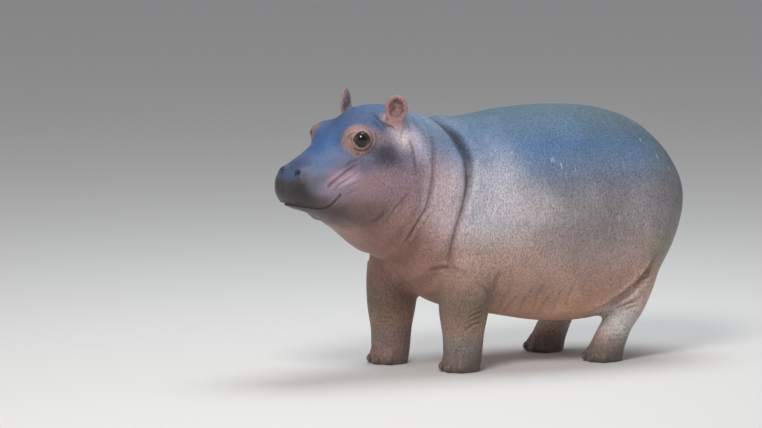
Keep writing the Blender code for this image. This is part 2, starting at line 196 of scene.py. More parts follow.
def from_place(points, place):
    """How far points are from a place that both sides of the head have."""
    ahead, aside, up = head_axes(points)
    gaps = [ahead - place[0], np.abs(aside) - place[1], up - place[2]]
    return np.linalg.norm(np.stack(gaps, axis=1), axis=1)


def from_ears(points):
    return from_place(points, EAR)


def broad_forms(points):
    """1 on the barrel, neck and upper legs, near 0 on ears and toes."""
    return ramp(points[:, 2], 0.030, 0.070) * ramp(from_ears(points), 0.045, 0.070)


amount = LEAST_SMOOTHING + (1.0 - LEAST_SMOOTHING) * broad_forms(points_of(skin))
smooth(skin, amount, SMOOTH_ROUNDS)
print("smoothed, skin points:", len(skin.data.vertices))

# %% [markdown]
# ## Finer mesh where the detail is
# Lids, nostrils and lips are only a few millimetres across. The faces there are divided once more, and
# the new points are rounded off so that no old edge shows.

# %% Divide the faces of eyes, muzzle and ears
EYE_REGION, EYE_REGION_REACH = (0.200, 0.080, 0.560), 0.050
LID_REGION, LID_REGION_REACH = (EYE_AHEAD, 0.080, EYE_HEIGHT), 0.036
EAR_REGION_REACH = 0.052
MUZZLE_START, MUZZLE_TOP = 0.190, 0.530
ROUNDING = 0.8


def middles_of_faces(work):
    work.faces.ensure_lookup_table()
    return np.array([face.calc_center_median() for face in work.faces])


def divide(obj, chosen):
    work = bmesh.new()
    work.from_mesh(obj.data)
    picked = np.nonzero(chosen(middles_of_faces(work)))[0]
    edges = {edge for index in picked for edge in work.faces[index].edges}
    bmesh.ops.subdivide_edges(work, edges=list(edges), cuts=1, use_grid_fill=True, smooth=0.0)
    work.to_mesh(obj.data)
    work.free()


def near_features(points):
    ahead, _, up = head_axes(points)
    eyes = from_place(points, EYE_REGION) < EYE_REGION_REACH
    muzzle = (ahead > MUZZLE_START) & (up < MUZZLE_TOP)
    return eyes | muzzle | (from_ears(points) < EAR_REGION_REACH)


def near_lids(points):
    return from_place(points, LID_REGION) < LID_REGION_REACH


for region, rounds in ((near_features, 6), (near_lids, 4)):
    divide(skin, region)
    smooth(skin, np.where(region(points_of(skin)), ROUNDING, 0.0), rounds)
print("skin:", sum(len(p.vertices) - 2 for p in skin.data.polygons), "triangles")

# %% [markdown]
# ## Sculpting with lines and swellings
# A sculptor presses a tool along a line for a fold and adds clay for a swelling. These helpers do the
# same to the skin's points. A line is a smooth curve through a few places, dropped onto the skin by
# casting rays at it. `press` sinks the points near the line and raises a soft lip on both sides.

# %% Sculpting helpers
LINE_STEP = 0.0015
# How far outside the calf the rays start
RAY_START = 0.5
# The fade at a line's ends starts a little before its first point, so that the point still counts
FADE_START = -0.02


def curve_through(knots):
    """Many points on a smooth curve through a few."""
    knots = np.array(knots, dtype=float)
    where = np.concatenate([[0.0], np.cumsum(np.linalg.norm(np.diff(knots, axis=0), axis=1))])
    slope = np.gradient(knots, where, axis=0)
    wanted = np.linspace(0.0, where[-1], max(3, int(where[-1] / LINE_STEP)))
    cell = np.clip(np.searchsorted(where, wanted, side="right") - 1, 0, len(where) - 2)
    span = (where[cell + 1] - where[cell])[:, None]
    t = (wanted - where[cell])[:, None] / span
    near = (2 * t**3 - 3 * t**2 + 1) * knots[cell] + (t**3 - 2 * t**2 + t) * span * slope[cell]
    far = (-2 * t**3 + 3 * t**2) * knots[cell + 1] + (t**3 - t**2) * span * slope[cell + 1]
    return near + far


def skin_tree():
    work = bmesh.new()
    work.from_mesh(skin.data)
    made = BVHTree.FromBMesh(work)
    work.free()
    return made


tree = skin_tree()


def dropped(starts, ways):
    """The places where rays from the starts meet the skin."""
    hits = [tree.ray_cast(Vector(start), Vector(way))[0] for start, way in zip(starts, ways)]
    return np.array([hit for hit in hits if hit is not None])


def head_line(knots, side):
    """A line on one side of the head, through places given as (ahead, height)."""
    flat = curve_through(knots)
    starts = [head_point(ahead, side * RAY_START, height) for ahead, height in flat]
    return dropped(starts, [-side * side_way] * len(flat))


def body_line(knots, middle_x, side):
    """A line on one side of the body, through places given as (behind the middle, height)."""
    flat = curve_through(knots)
    starts = [(middle_x + along, -side, height) for along, height in flat]
    return dropped(starts, [(0.0, side, 0.0)] * len(flat))


def near_line(line, reach):
    """Which skin points are near a line, how far from it they are, and how far along it, from 0 to 1."""
    low, high = line.min(axis=0) - reach, line.max(axis=0) + reach
    picked = np.nonzero(((clay > low) & (clay < high)).all(axis=1))[0]
    gaps = np.linalg.norm(clay[picked][:, None, :] - line[None, :, :], axis=2)
    return picked, gaps.min(axis=1), gaps.argmin(axis=1) / (len(line) - 1)


def fade_ends(values, along, share):
    """Fade values to nothing over a share of a line at both ends."""
    return values * ramp(along, FADE_START, share) * ramp(1.0 - along, FADE_START, share)


def press(line, depth, half_width, lip=0.30, ends=0.25):
    """A crease along a line, fading out toward its ends, with a raised lip on both sides."""
    picked, away, along = near_line(line, 4.5 * half_width)
    sunk = np.exp(-((away / half_width) ** 1.5)) - lip * np.exp(-(((away / half_width) - 2.3) ** 2))
    clay[picked] -= outward[picked] * (depth * fade_ends(sunk, along, ends))[:, None]


def crease(name, line, depth, half_width, **shape):
    """Press a crease and keep its line, so that it can be painted later."""
    lines[name] = line
    press(line, depth, half_width, **shape)


def swell(centre, radii, rise):
    """A soft swelling, or a hollow where the rise is negative."""
    away = np.linalg.norm((clay - np.array(centre)) / np.array(radii), axis=1)
    clay[:] += outward * (rise * (1.0 - ramp(away, 0.0, 1.0)))[:, None]


def settle():
    """Put the sculpted points back in the skin and read its directions again."""
    set_points(skin, clay)
    outward[:] = normals_of(skin)


clay = points_of(skin)
outward = normals_of(skin)
lines = {}
print("clay ready:", len(clay), "points")

# %% [markdown]
# ## Eyelids
# The eyeball is a ball in a socket, and the lids are skin that is drawn over it. Every skin point near
# the ball is moved along its own ray from the ball's middle: inside the opening it goes behind the ball's
# surface, at the rim it stands a little proud, and farther out it eases back to the face. The opening is
# an oval round the direction of the gaze. Rings of low ridges round it make the folds of the lids.

# %% Draw the lids over the eyes
GAZE_FORWARD = math.radians(32.0)
GAZE_UP = math.radians(3.0)
OPENING_ACROSS = math.radians(55.0)
OPENING_UP = math.radians(53.0)
LID_STAND = 0.0024
LID_TUCK = 0.0030
# Distances in openings: where the lid climbs from behind the ball, and where it eases back to the face
LID_EDGE = (0.90, 1.04)
LID_EASE = (1.10, 1.95)
# Distances in radii of the ball: where the work on the lids fades out
LID_REACH = (2.3, 2.9)
# Ridges of the lids: distance from the line of the gaze in openings, half width, height
LID_RINGS = ((1.30, 0.14, 0.0026), (1.84, 0.16, 0.0036), (2.42, 0.18, 0.0020))


def gaze_of(side):
    flat = math.cos(GAZE_FORWARD) * side * side_way + math.sin(GAZE_FORWARD) * ahead_way
    return (math.cos(GAZE_UP) * flat + math.sin(GAZE_UP) * Vector((0, 0, 1))).normalized()


def lid_rings(ray, side):
    """For rays from an eye's middle: the turn from the gaze and the distance from its line, both in
    openings, and how far up or down each lies, from 1 to -1."""
    gaze = np.array(gaze_of(side))
    across = np.cross([0.0, 0.0, 1.0], gaze)
    across /= np.linalg.norm(across)
    forward, aside, above = ray @ gaze, ray @ across, ray @ np.cross(gaze, across)
    turned = np.hypot(np.arctan2(aside, forward) / OPENING_ACROSS, np.arctan2(above, forward) / OPENING_UP)
    spread = np.hypot(aside / math.sin(OPENING_ACROSS), above / math.sin(OPENING_UP)) / eye_radius
    return turned, spread, above / np.maximum(np.hypot(aside, above), 1e-6)


def draw_lids(centre, side):
    ray = clay - np.array(centre)
    far = np.linalg.norm(ray, axis=1)
    picked = np.nonzero((far < 3.0 * eye_radius) & (ray @ np.array(side_way) * side > -0.5 * eye_radius))[0]
    ray, far = ray[picked], far[picked]
    ring, spread, above = lid_rings(ray, side)
    inside = eye_radius - LID_TUCK
    rim = eye_radius + LID_STAND
    lid = inside + (rim - inside) * ramp(ring, *LID_EDGE)
    free = ramp(ring, *LID_EASE)
    wanted = lid * (1.0 - free) + far * free
    for place, width, height in LID_RINGS:
        wanted += height * np.exp(-(((spread - place) / width) ** 2)) * (0.65 - 0.35 * above)
    hold = 1.0 - ramp(far, LID_REACH[0] * eye_radius, LID_REACH[1] * eye_radius)
    wanted = far + (wanted - far) * hold
    clay[picked] = np.array(centre) + ray / far[:, None] * wanted[:, None]


draw_lids(left_eye, 1.0)
draw_lids(right_eye, -1.0)
settle()
print("lids drawn, standing", LID_STAND, "m proud of the balls")

# %% [markdown]
# ## Muzzle and mouth
# The nostrils are slanting slits on two mounds, which a hippopotamus shuts under water. The mouth line
# runs round the front of the muzzle and curls up at its corners. It is pressed in along one line round
# the muzzle, given by the angle from straight ahead and the height at that angle.

# %% Press in the nostrils and the mouth
NOSTRIL = (0.350, 0.027, 0.489)
NOSTRIL_DEPTH = 0.0150
NOSTRIL_HALF_WIDTH = 0.0050
# The slit from end to end, aside and up from the nostril's middle
NOSTRIL_SLIT = ((-0.0095, -0.0045), (-0.0025, -0.0030), (0.0045, 0.0020), (0.0085, 0.0070))
# The way a nostril faces: shares of ahead, aside and up
NOSTRIL_WAY = (0.78, 0.15, 0.60)
NOSTRIL_RAY = 0.06
MOUND_RADII = (0.026, 0.024, 0.022)
MOUND_RISE = 0.0030
MOUTH_AXIS_AHEAD = 0.270
# The closed lips: the turn from straight ahead in degrees, and the height there
MOUTH_LINE = (
    (0.0, 0.414),
    (20.0, 0.412),
    (38.0, 0.409),
    (56.0, 0.405),
    (69.0, 0.407),
    (79.0, 0.415),
    (87.0, 0.428),
    (91.0, 0.439),
)
MOUTH_POINTS = 260
MOUTH_RAY = 0.4
MOUTH_ROUNDING = 17
MOUTH_DEPTH = 0.0060
MOUTH_HALF_WIDTH = 0.0026


def mouth_path():
    """The line of the closed lips, from the right corner round the front to the left one."""
    half = [(math.radians(turn), height) for turn, height in MOUTH_LINE]
    knots = [(-turn, height) for turn, height in reversed(half[1:])] + half
    turns = np.array([knot[0] for knot in knots])
    wanted = np.linspace(turns[0], turns[-1], MOUTH_POINTS)
    heights = np.interp(wanted, turns, [knot[1] for knot in knots])
    kernel = np.hanning(MOUTH_ROUNDING) / np.hanning(MOUTH_ROUNDING).sum()
    heights = np.convolve(np.pad(heights, MOUTH_ROUNDING // 2, mode="edge"), kernel, mode="valid")
    ways = [-(math.cos(t) * ahead_way + math.sin(t) * side_way) for t in wanted]
    starts = [head_point(MOUTH_AXIS_AHEAD, 0.0, z) - MOUTH_RAY * way for z, way in zip(heights, ways)]
    return dropped(starts, ways)


for side in (1.0, -1.0):
    ahead, aside, height = NOSTRIL
    onward, outside, upward = NOSTRIL_WAY
    way = (onward * ahead_way + outside * side * side_way + upward * Vector((0, 0, 1))).normalized()
    swell(head_point(ahead - 0.006, side * (aside + 0.002), height + 0.004), MOUND_RADII, MOUND_RISE)
    settle()
    slit = curve_through(NOSTRIL_SLIT)
    starts = [head_point(ahead, side * (aside + e), height + h) + NOSTRIL_RAY * way for e, h in slit]
    line = dropped(starts, [-way] * len(starts))
    crease(f"nostril_{side:+.0f}", line, NOSTRIL_DEPTH, NOSTRIL_HALF_WIDTH, lip=0.14, ends=0.30)
crease("mouth", mouth_path(), MOUTH_DEPTH, MOUTH_HALF_WIDTH, lip=0.22, ends=0.06)
settle()
print("nostrils and mouth pressed in,", len(lines["mouth"]), "points along the lips")

# %% [markdown]
# ## Folds of the face
# Behind the muzzle the cheek is creased where the mouth opens wide: one deep pink groove with finer ones
# beside it. A jowl hangs over the throat, and a thin crease runs down behind the ear.

# %% Crease the cheeks
# Creases of the face: name, places as (ahead, height), depth, half width
FACE_CREASES = (
    ("cheek_hollow", ((0.296, 0.458), (0.266, 0.474), (0.236, 0.490), (0.206, 0.504)), 0.0050, 0.0110),
    ("cheek_groove", ((0.304, 0.454), (0.272, 0.471), (0.241, 0.489), (0.211, 0.505)), 0.0084, 0.0036),
    ("over_groove", ((0.248, 0.498), (0.226, 0.509), (0.202, 0.518)), 0.0020, 0.0028),
    ("lip_fan", ((0.254, 0.434), (0.238, 0.442), (0.222, 0.446)), 0.0016, 0.0024),
    ("under_groove", ((0.282, 0.454), (0.256, 0.467), (0.226, 0.479)), 0.0024, 0.0028),
    ("low_groove", ((0.262, 0.449), (0.238, 0.459), (0.210, 0.467)), 0.0020, 0.0024),
    ("lip_line", ((0.300, 0.452), (0.280, 0.446), (0.262, 0.434)), 0.0014, 0.0028),
    ("cheek_line", ((0.092, 0.436), (0.104, 0.420), (0.120, 0.405), (0.138, 0.386)), 0.0018, 0.0030),
    ("jowl", ((0.262, 0.352), (0.228, 0.353), (0.195, 0.358), (0.168, 0.372), (0.150, 0.396)), 0.0045, 0.007),
    ("behind_ear", ((0.073, 0.562), (0.068, 0.525), (0.070, 0.488), (0.072, 0.462)), 0.0012, 0.0034),
    ("ear_fold", ((0.136, 0.618), (0.127, 0.592), (0.104, 0.573)), 0.0042, 0.0030),
    ("ear_fold_low", ((0.148, 0.602), (0.136, 0.579), (0.112, 0.561)), 0.0024, 0.0028),
)
for side in (1.0, -1.0):
    for name, knots, depth, half_width in FACE_CREASES:
        crease(f"{name}_{side:+.0f}", head_line(knots, side), depth, half_width)
settle()
print("face creases:", 2 * len(FACE_CREASES))

# %% [markdown]
# ## Ears
# A hippopotamus has small round ears that stand up like spoons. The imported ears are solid, so the side
# that faces forward and out is sunk into a dish, deepest in its middle. The points are moved straight
# along the way the dish opens, which keeps the rim of the ear where it was.

# %% Hollow the ears
EAR_TURN = math.radians(50.0)
EAR_HALF_ACROSS = 0.0225
EAR_HALF_UP = 0.0290
EAR_HOLLOW = 0.0046
# Between these distances from its middle an ear gives way to the head
EAR_EDGE = (0.034, 0.052)
EAR_LIMIT = 0.060


def ear_places(side):
    """How far each point is from the middle of an ear's dish, 1 at its rim, and how it faces the opening."""
    ray = clay - np.array(head_point(EAR[0], side * EAR[1], EAR[2]))
    open_way = np.array(math.cos(EAR_TURN) * ahead_way + math.sin(EAR_TURN) * side * side_way)
    cross_way = np.cross([0.0, 0.0, 1.0], open_way)
    from_middle = np.hypot(ray @ cross_way / EAR_HALF_ACROSS, (ray[:, 2] - 0.002) / EAR_HALF_UP)
    here = (1.0 - ramp(from_ears(clay), *EAR_EDGE)) * (np.linalg.norm(ray, axis=1) < EAR_LIMIT)
    return from_middle, here, ramp(outward @ open_way, -0.15, 0.25), open_way


for side in (1.0, -1.0):
    from_middle, here, facing, open_way = ear_places(side)
    sunk = EAR_HOLLOW * (1.0 - ramp(from_middle, 0.40, 0.85)) * here * facing
    clay -= sunk[:, None] * open_way
settle()
print("ears hollowed, up to", EAR_HOLLOW, "m deep")

# %% [markdown]
# ## Neck folds
# Two folds ring the neck, and the second is deep, with a soft roll before it and the shoulder bulging
# behind. They run nearly upright, so their place along the body is read off for each height.

# %% Fold the neck
FOLD_HEIGHTS = (0.20, 0.24, 0.30, 0.343, 0.395, 0.44, 0.50, 0.55, 0.60)
FRONT_FOLD = (-0.096, -0.082, -0.063, -0.048, -0.017, -0.009, 0.000, 0.010, 0.014)
FRONT_FOLD_DEPTH = (0.0040, 0.0050, 0.0055, 0.0055, 0.0055, 0.0055, 0.0050, 0.0040, 0.0030)
REAR_FOLD = (0.050, 0.047, 0.046, 0.052, 0.066, 0.076, 0.085, 0.076, 0.056)
REAR_FOLD_DEPTH = (0.0045, 0.0050, 0.0055, 0.0060, 0.0070, 0.0090, 0.0125, 0.0140, 0.0130)
# Each fold: its places and depths, the heights where it starts and ends, how far the skin rises before
# it and behind it
FOLDS = (
    (FRONT_FOLD, FRONT_FOLD_DEPTH, 0.285, 0.565, 0.0004, 0.0012),
    (REAR_FOLD, REAR_FOLD_DEPTH, 0.215, 0.700, 0.0018, 0.0026),
)
FOLD_FADE = 0.055
FOLD_TOP_FADE = 0.060
# Half the width of a fold of the fine depth, which a deeper one outgrows
FINE_FOLD = 0.0036
FINE_FOLD_DEPTH = 0.0055


def fold_neck(places, depths, foot, top, rise_before, rise_behind):
    """One fold across the body, fading out below and above a height, and wider where it is deeper."""
    behind = clay[:, 0] - nape.x - np.interp(clay[:, 2], FOLD_HEIGHTS, places)
    depth = np.interp(clay[:, 2], FOLD_HEIGHTS, depths)
    half_width = FINE_FOLD * (depth / FINE_FOLD_DEPTH) ** 0.9
    fade = ramp(clay[:, 2], foot, foot + FOLD_FADE) * (1.0 - ramp(clay[:, 2], top - FOLD_TOP_FADE, top))
    sunk = depth * np.exp(-((np.abs(behind) / half_width) ** 1.4))
    sunk -= rise_behind * np.exp(-(((behind - 3.0 * half_width) / (2.2 * half_width)) ** 2))
    sunk -= rise_before * np.exp(-(((behind + 3.2 * half_width) / (2.4 * half_width)) ** 2))
    clay[:] -= outward * (sunk * fade)[:, None]


for fold in FOLDS:
    fold_neck(*fold)
settle()
print("neck folds", max(FRONT_FOLD_DEPTH), "and", max(REAR_FOLD_DEPTH), "m deep at most")

# %% [markdown]
# ## Folds of the legs
# The upper leg bulges over the elbow, and skin gathers in creases in front of the hock and round the
# ankles. The places are given from the middle of each foot, so both sides of the body get their own.

# %% Crease the legs and the flank
# Creases of a leg: name, places as (behind the foot, height), depth, half width
FRONT_LEG_CREASES = (
    ("shoulder", ((-0.080, 0.236), (-0.056, 0.246), (-0.021, 0.238), (0.000, 0.220)), 0.0055, 0.0046),
    ("elbow", ((-0.010, 0.219), (0.033, 0.196), (0.050, 0.160), (0.040, 0.120)), 0.0065, 0.0050),
    ("armpit", ((0.072, 0.240), (0.068, 0.180), (0.056, 0.140)), 0.0060, 0.0050),
)
FLANK_CREASE = ((-0.060, 0.104), (0.009, 0.147), (0.055, 0.187), (0.084, 0.222), (0.100, 0.260))
FLANK_DEPTH = 0.0110
FLANK_HALF_WIDTH = 0.0070
UPPER_LEG_RADII = (0.060, 0.070, 0.055)
UPPER_LEG_RISE = 0.0080
SHANK_WRINKLES = 7
ELBOW_WRINKLES = 6
BELLY_CREASES = 8

for leg, side in (("left", 1.0), ("right", -1.0)):
    front = middle_of(f"front_{leg}_foot").x
    hind = middle_of(f"hind_{leg}_foot").x
    swell((front + 0.010, -side * 0.155, 0.185), UPPER_LEG_RADII, UPPER_LEG_RISE)
    settle()
    for name, knots, depth, half_width in FRONT_LEG_CREASES:
        crease(f"{name}_{leg}", body_line(knots, front, side), depth, half_width)
    crease(f"flank_{leg}", body_line(FLANK_CREASE, hind, side), FLANK_DEPTH, FLANK_HALF_WIDTH, lip=0.45)
    settle()
    for k in range(SHANK_WRINKLES):
        start, height = 0.006 + 0.0050 * k, 0.106 + 0.0115 * k
        bend = 0.003 * math.sin(2.4 * k)
        knots = ((start, height), (start + 0.026, height + 0.017 + bend), (start + 0.058, height + 0.027))
        crease(f"shank_{k}_{leg}", body_line(knots, hind, side), 0.0044, 0.0032, lip=0.45)
    for k in range(ELBOW_WRINKLES):
        start, height = -0.018 + 0.002 * k, 0.100 + 0.013 * k
        knots = ((start, height), (start + 0.020, height + 0.013), (start + 0.048, height + 0.020))
        crease(f"elbow_{k}_{leg}", body_line(knots, front, side), 0.0032, 0.0030, lip=0.40)
    for k in range(BELLY_CREASES):
        start, height = 0.085 + 0.026 * k, 0.190 + 0.012 * math.sin(2.1 * k)
        knots = ((start, height), (start - 0.006, height - 0.035), (start + 0.006, height - 0.070))
        crease(f"belly_{k}_{leg}", body_line(knots, front, side), 0.0016, 0.0034)
settle()
print("creases in all:", len(lines))

# %% [markdown]
# ## Toes and ankles
# Each toe is a soft pad that swells over its nail, and the skin of the ankle lies in rings where the foot
# bends. The pads are swellings between the nails and the foot. The rings are waves over the height, made
# uneven by a slow wobble, because evenly spaced rings would look turned on a lathe.

# %% Round the toes and ring the ankles
LEGS = ("front_left", "front_right", "hind_left", "hind_right")
TOE_RADII = (0.020, 0.020, 0.022)
TOE_RISE = 0.0032
RING_SPACING = 0.0105
RING_DEPTH = 0.0019


def wander(points, pace, shift):
    """A slow, smooth, repeatable wobble between about -1 and 1."""
    x, y, z = (points * pace).T
    waves = np.sin(x * 1.3 + 2.1 * y + shift) + np.sin(1.7 * z - 1.1 * x + 2.3 * shift)
    return (waves + np.sin(2.3 * y + 0.9 * z)) / 3.0


def nails_of(leg):
    return sorted(name for name in nodes if name.startswith(f"{leg}_nail_"))


def ankle_rings(points):
    """The creases round the ankles: how much each place rises, and where the rings are at all."""
    height = points[:, 2] + 0.006 * wander(points, 28.0, 1.0)
    wave = np.abs(np.sin(math.pi * height / RING_SPACING)) ** 0.6 - 0.6
    on_legs = ramp(points[:, 2], 0.040, 0.055) * (1.0 - ramp(points[:, 2], 0.105, 0.150))
    return wave, on_legs * (0.5 + 0.5 * wander(points, 60.0, 4.0))


for leg in LEGS:
    foot = middle_of(f"{leg}_foot")
    for name in nails_of(leg):
        nail = middle_of(name)
        swell(nail + 0.35 * (foot - nail) + Vector((0.0, 0.0, 0.010)), TOE_RADII, TOE_RISE)
        settle()
wave, there = ankle_rings(clay)
clay[:] += outward * (RING_DEPTH * wave * there)[:, None]
settle()
print("toes rounded, ankles ringed every", RING_SPACING, "m")

# %% [markdown]
# ## Thinning the plain stretches
# The folds need a fine mesh, the flank doesn't. Collapse decimation removes edges where the surface is
# nearly flat first, so the creases keep their points while the barrel gets larger faces.

# %% Thin the mesh
SKIN_TRIANGLES = 190000


def shade_smoothly(obj):
    for polygon in obj.data.polygons:
        polygon.use_smooth = True


bake(skin, "TRIANGULATE")
print("before thinning:", len(skin.data.polygons), "triangles")
bake(skin, "DECIMATE", ratio=SKIN_TRIANGLES / len(skin.data.polygons))
shade_smoothly(skin)
print("after thinning:", len(skin.data.polygons), "triangles")

# %% [markdown]
# ## Colours of the hide
# A hippopotamus calf is slate blue above and pink below, with a dark wet muzzle, a flush of orange round
# the eyes and pink in every fold. Light is painted in too: the blue on the back and on top of the head is
# partly a painted reflection of the sky, painted highlights and reflections lie on the lit flank, shoulder,
# neck and shank and round the muzzle, and painted shade darkens the creases, the ear hollows, the underside
# of the jaw and chin and the far eye. The colours are laid on like an airbrush: first a base that changes
# with height, then soft patches, each with a place, a reach and a strength. They are kept as a colour on
# every point of the skin, so they stay right in any view, and the fine grain comes from the material.

# %% Base colours and patches of the hide
# Base colours of the body and of the head: height, colour
# The pale body row at 0.36 is a painted highlight on the lit flank. The blue rows at the top of body and head
# are the dark hide with a painted reflection of the sky.
BODY_TINTS = (
    (0.00, (0.150, 0.115, 0.100)),
    (0.07, (0.220, 0.165, 0.145)),
    (0.12, (0.500, 0.295, 0.220)),
    (0.20, (0.540, 0.335, 0.265)),
    (0.29, (0.540, 0.390, 0.350)),
    (0.36, (0.580, 0.520, 0.530)),
    (0.44, (0.210, 0.270, 0.380)),
    (0.52, (0.090, 0.185, 0.360)),
    (0.60, (0.080, 0.150, 0.195)),
)
HEAD_TINTS = (
    (0.28, (0.360, 0.190, 0.155)),
    (0.36, (0.360, 0.205, 0.175)),
    (0.46, (0.330, 0.225, 0.265)),
    (0.53, (0.200, 0.195, 0.290)),
    (0.58, (0.070, 0.120, 0.220)),
    (0.63, (0.060, 0.115, 0.220)),
)
# Patches on the head: name, (ahead, aside, up), reach in the same directions, colour, strength
HEAD_PATCHES = (
    # Crown, forehead, bridge, bridge_side and nose_top: the dark hide with a painted reflection of the blue
    # sky on top
    ("crown", (0.120, 0.000, 0.640), (0.110, 0.090, 0.050), (0.055, 0.115, 0.265), 0.90),
    ("forehead", (0.190, 0.030, 0.600), (0.060, 0.060, 0.035), (0.032, 0.068, 0.168), 0.85),
    ("bridge", (0.265, 0.000, 0.545), (0.100, 0.075, 0.040), (0.022, 0.092, 0.255), 0.95),
    ("under_eye", (0.205, 0.090, 0.500), (0.055, 0.045, 0.024), (0.115, 0.125, 0.200), 0.75),
    ("behind_eye", (0.142, 0.105, 0.522), (0.036, 0.050, 0.031), (0.048, 0.040, 0.053), 0.92),
    ("temple", (0.176, 0.088, 0.570), (0.026, 0.040, 0.020), (0.560, 0.340, 0.350), 0.60),
    ("temple_back", (0.142, 0.090, 0.562), (0.026, 0.040, 0.018), (0.310, 0.215, 0.250), 0.65),
    ("cheek", (0.180, 0.100, 0.450), (0.060, 0.060, 0.040), (0.340, 0.220, 0.245), 0.80),
    # A painted highlight where the light falls below the ear
    ("below_ear_highlight", (0.089, 0.110, 0.570), (0.030, 0.045, 0.036), (0.880, 0.710, 0.730), 0.90),
    ("groove_flush", (0.256, 0.085, 0.474), (0.040, 0.035, 0.019), (0.520, 0.370, 0.490), 0.85),
    ("lip_side", (0.275, 0.085, 0.440), (0.040, 0.040, 0.020), (0.300, 0.240, 0.315), 0.80),
    # jaw: painted shade on the underside of the jaw
    ("jaw", (0.202, 0.080, 0.391), (0.060, 0.080, 0.038), (0.150, 0.090, 0.078), 0.85),
    ("muzzle", (0.347, 0.030, 0.446), (0.058, 0.090, 0.054), (0.007, 0.008, 0.010), 0.97),
    ("bridge_side", (0.296, 0.050, 0.509), (0.050, 0.034, 0.020), (0.040, 0.108, 0.262), 0.85),
    ("nose_top", (0.335, 0.000, 0.505), (0.050, 0.065, 0.024), (0.012, 0.035, 0.100), 0.85),
    # A painted highlight: the glints of the wet skin on the side of the nose
    ("nose_side_glints", (0.318, 0.064, 0.486), (0.024, 0.022, 0.016), (0.100, 0.140, 0.235), 0.60),
    # A painted reflection of the blue sky on the wet tip of the nose
    ("nose_tip_reflection", (0.356, 0.012, 0.484), (0.020, 0.026, 0.013), (0.045, 0.088, 0.180), 0.75),
    ("lip_band", (0.304, 0.082, 0.453), (0.032, 0.030, 0.017), (0.330, 0.280, 0.370), 0.85),
    ("lip_front", (0.331, 0.070, 0.460), (0.020, 0.020, 0.014), (0.125, 0.130, 0.180), 0.65),
    # chin: painted shade on the underside of the chin
    ("chin", (0.290, 0.000, 0.393), (0.105, 0.105, 0.038), (0.015, 0.013, 0.013), 0.96),
    ("under_chin", (0.265, 0.000, 0.368), (0.070, 0.070, 0.026), (0.070, 0.045, 0.038), 0.80),
    # neck_nape: the hide with a partly painted reflection of the blue sky on top of the neck
    ("neck_nape", (-0.020, 0.060, 0.600), (0.090, 0.090, 0.060), (0.180, 0.255, 0.370), 0.80),
    # Painted highlights where the light falls on the neck and on the roll between its folds
    ("neck_highlight", (0.048, 0.104, 0.545), (0.020, 0.045, 0.045), (0.640, 0.560, 0.680), 0.80),
    ("neck_roll_highlight", (0.000, 0.145, 0.410), (0.060, 0.080, 0.080), (0.720, 0.570, 0.610), 0.75),
)
# Patches on the body: name, (behind the nape, aside, up), reach, colour, strength
BODY_PATCHES = (
    ("flank", (0.400, 0.190, 0.345), (0.140, 0.120, 0.105), (0.250, 0.215, 0.225), 0.75),
    # shoulder: a painted highlight where the light falls on the shoulder
    ("shoulder", (0.130, 0.180, 0.435), (0.085, 0.100, 0.100), (0.660, 0.650, 0.750), 0.85),
    # A painted reflection of the blue sky on top of the withers
    ("withers_reflection", (0.125, 0.150, 0.525), (0.055, 0.110, 0.045), (0.120, 0.195, 0.330), 0.55),
    # A painted highlight where the light falls on the flank
    ("flank_highlight", (0.205, 0.200, 0.392), (0.080, 0.100, 0.055), (0.680, 0.590, 0.610), 0.55),
    ("fore_belly", (0.190, 0.190, 0.200), (0.070, 0.100, 0.050), (0.600, 0.370, 0.300), 0.60),
    # rump: the dark hide with a partly painted greenish reflection
    ("rump", (0.670, 0.120, 0.430), (0.085, 0.150, 0.120), (0.085, 0.125, 0.115), 0.80),
    ("rump_low", (0.620, 0.150, 0.270), (0.070, 0.120, 0.060), (0.220, 0.235, 0.170), 0.60),
    ("haunch", (0.610, 0.150, 0.370), (0.120, 0.130, 0.085), (0.260, 0.235, 0.250), 0.70),
    # rump_top: the dark hide with a painted blue-green reflection of the sky
    ("rump_top", (0.590, 0.050, 0.560), (0.180, 0.150, 0.085), (0.090, 0.132, 0.146), 0.80),
    ("tail", (0.735, 0.000, 0.380), (0.034, 0.030, 0.110), (0.110, 0.100, 0.110), 0.90),
    ("belly", (0.330, 0.100, 0.110), (0.260, 0.160, 0.055), (0.840, 0.480, 0.345), 0.85),
    ("chest", (0.060, 0.060, 0.200), (0.090, 0.110, 0.080), (0.350, 0.175, 0.135), 0.70),
)
# Patches on a leg: name, (behind the foot, out to the side, up), reach, colour, strength
FRONT_LEG_PATCHES = (
    ("forearm", (0.000, 0.020, 0.150), (0.085, 0.090, 0.070), (0.130, 0.112, 0.078), 0.80),
    ("wrist", (0.000, 0.020, 0.065), (0.070, 0.080, 0.030), (0.200, 0.200, 0.180), 0.60),
    ("wrist_flush", (-0.005, -0.045, 0.060), (0.030, 0.022, 0.030), (0.380, 0.210, 0.190), 0.40),
)
HIND_LEG_PATCHES = (
    ("hock", (0.060, 0.020, 0.150), (0.060, 0.090, 0.040), (0.700, 0.530, 0.490), 0.75),
    # shank: partly a painted highlight, the sheen on the lit shank
    ("shank", (0.020, 0.020, 0.095), (0.060, 0.080, 0.042), (0.640, 0.640, 0.640), 0.80),
)
print("patches:", sum(map(len, (HEAD_PATCHES, BODY_PATCHES, FRONT_LEG_PATCHES, HIND_LEG_PATCHES))))


# %% Airbrush tools
def by_height(height, table):
    heights = [row[0] for row in table]
    return np.stack([np.interp(height, heights, [row[1][k] for row in table]) for k in range(3)], axis=1)


def spray(colours, places, centre, reach, colour, strength):
    """One soft patch of colour."""
    away = sum(((place - c) / r) ** 2 for place, c, r in zip(places, centre, reach))
    cover = (strength * np.exp(-0.9 * away**1.5))[:, None]
    return colours * (1.0 - cover) + np.array(colour) * cover


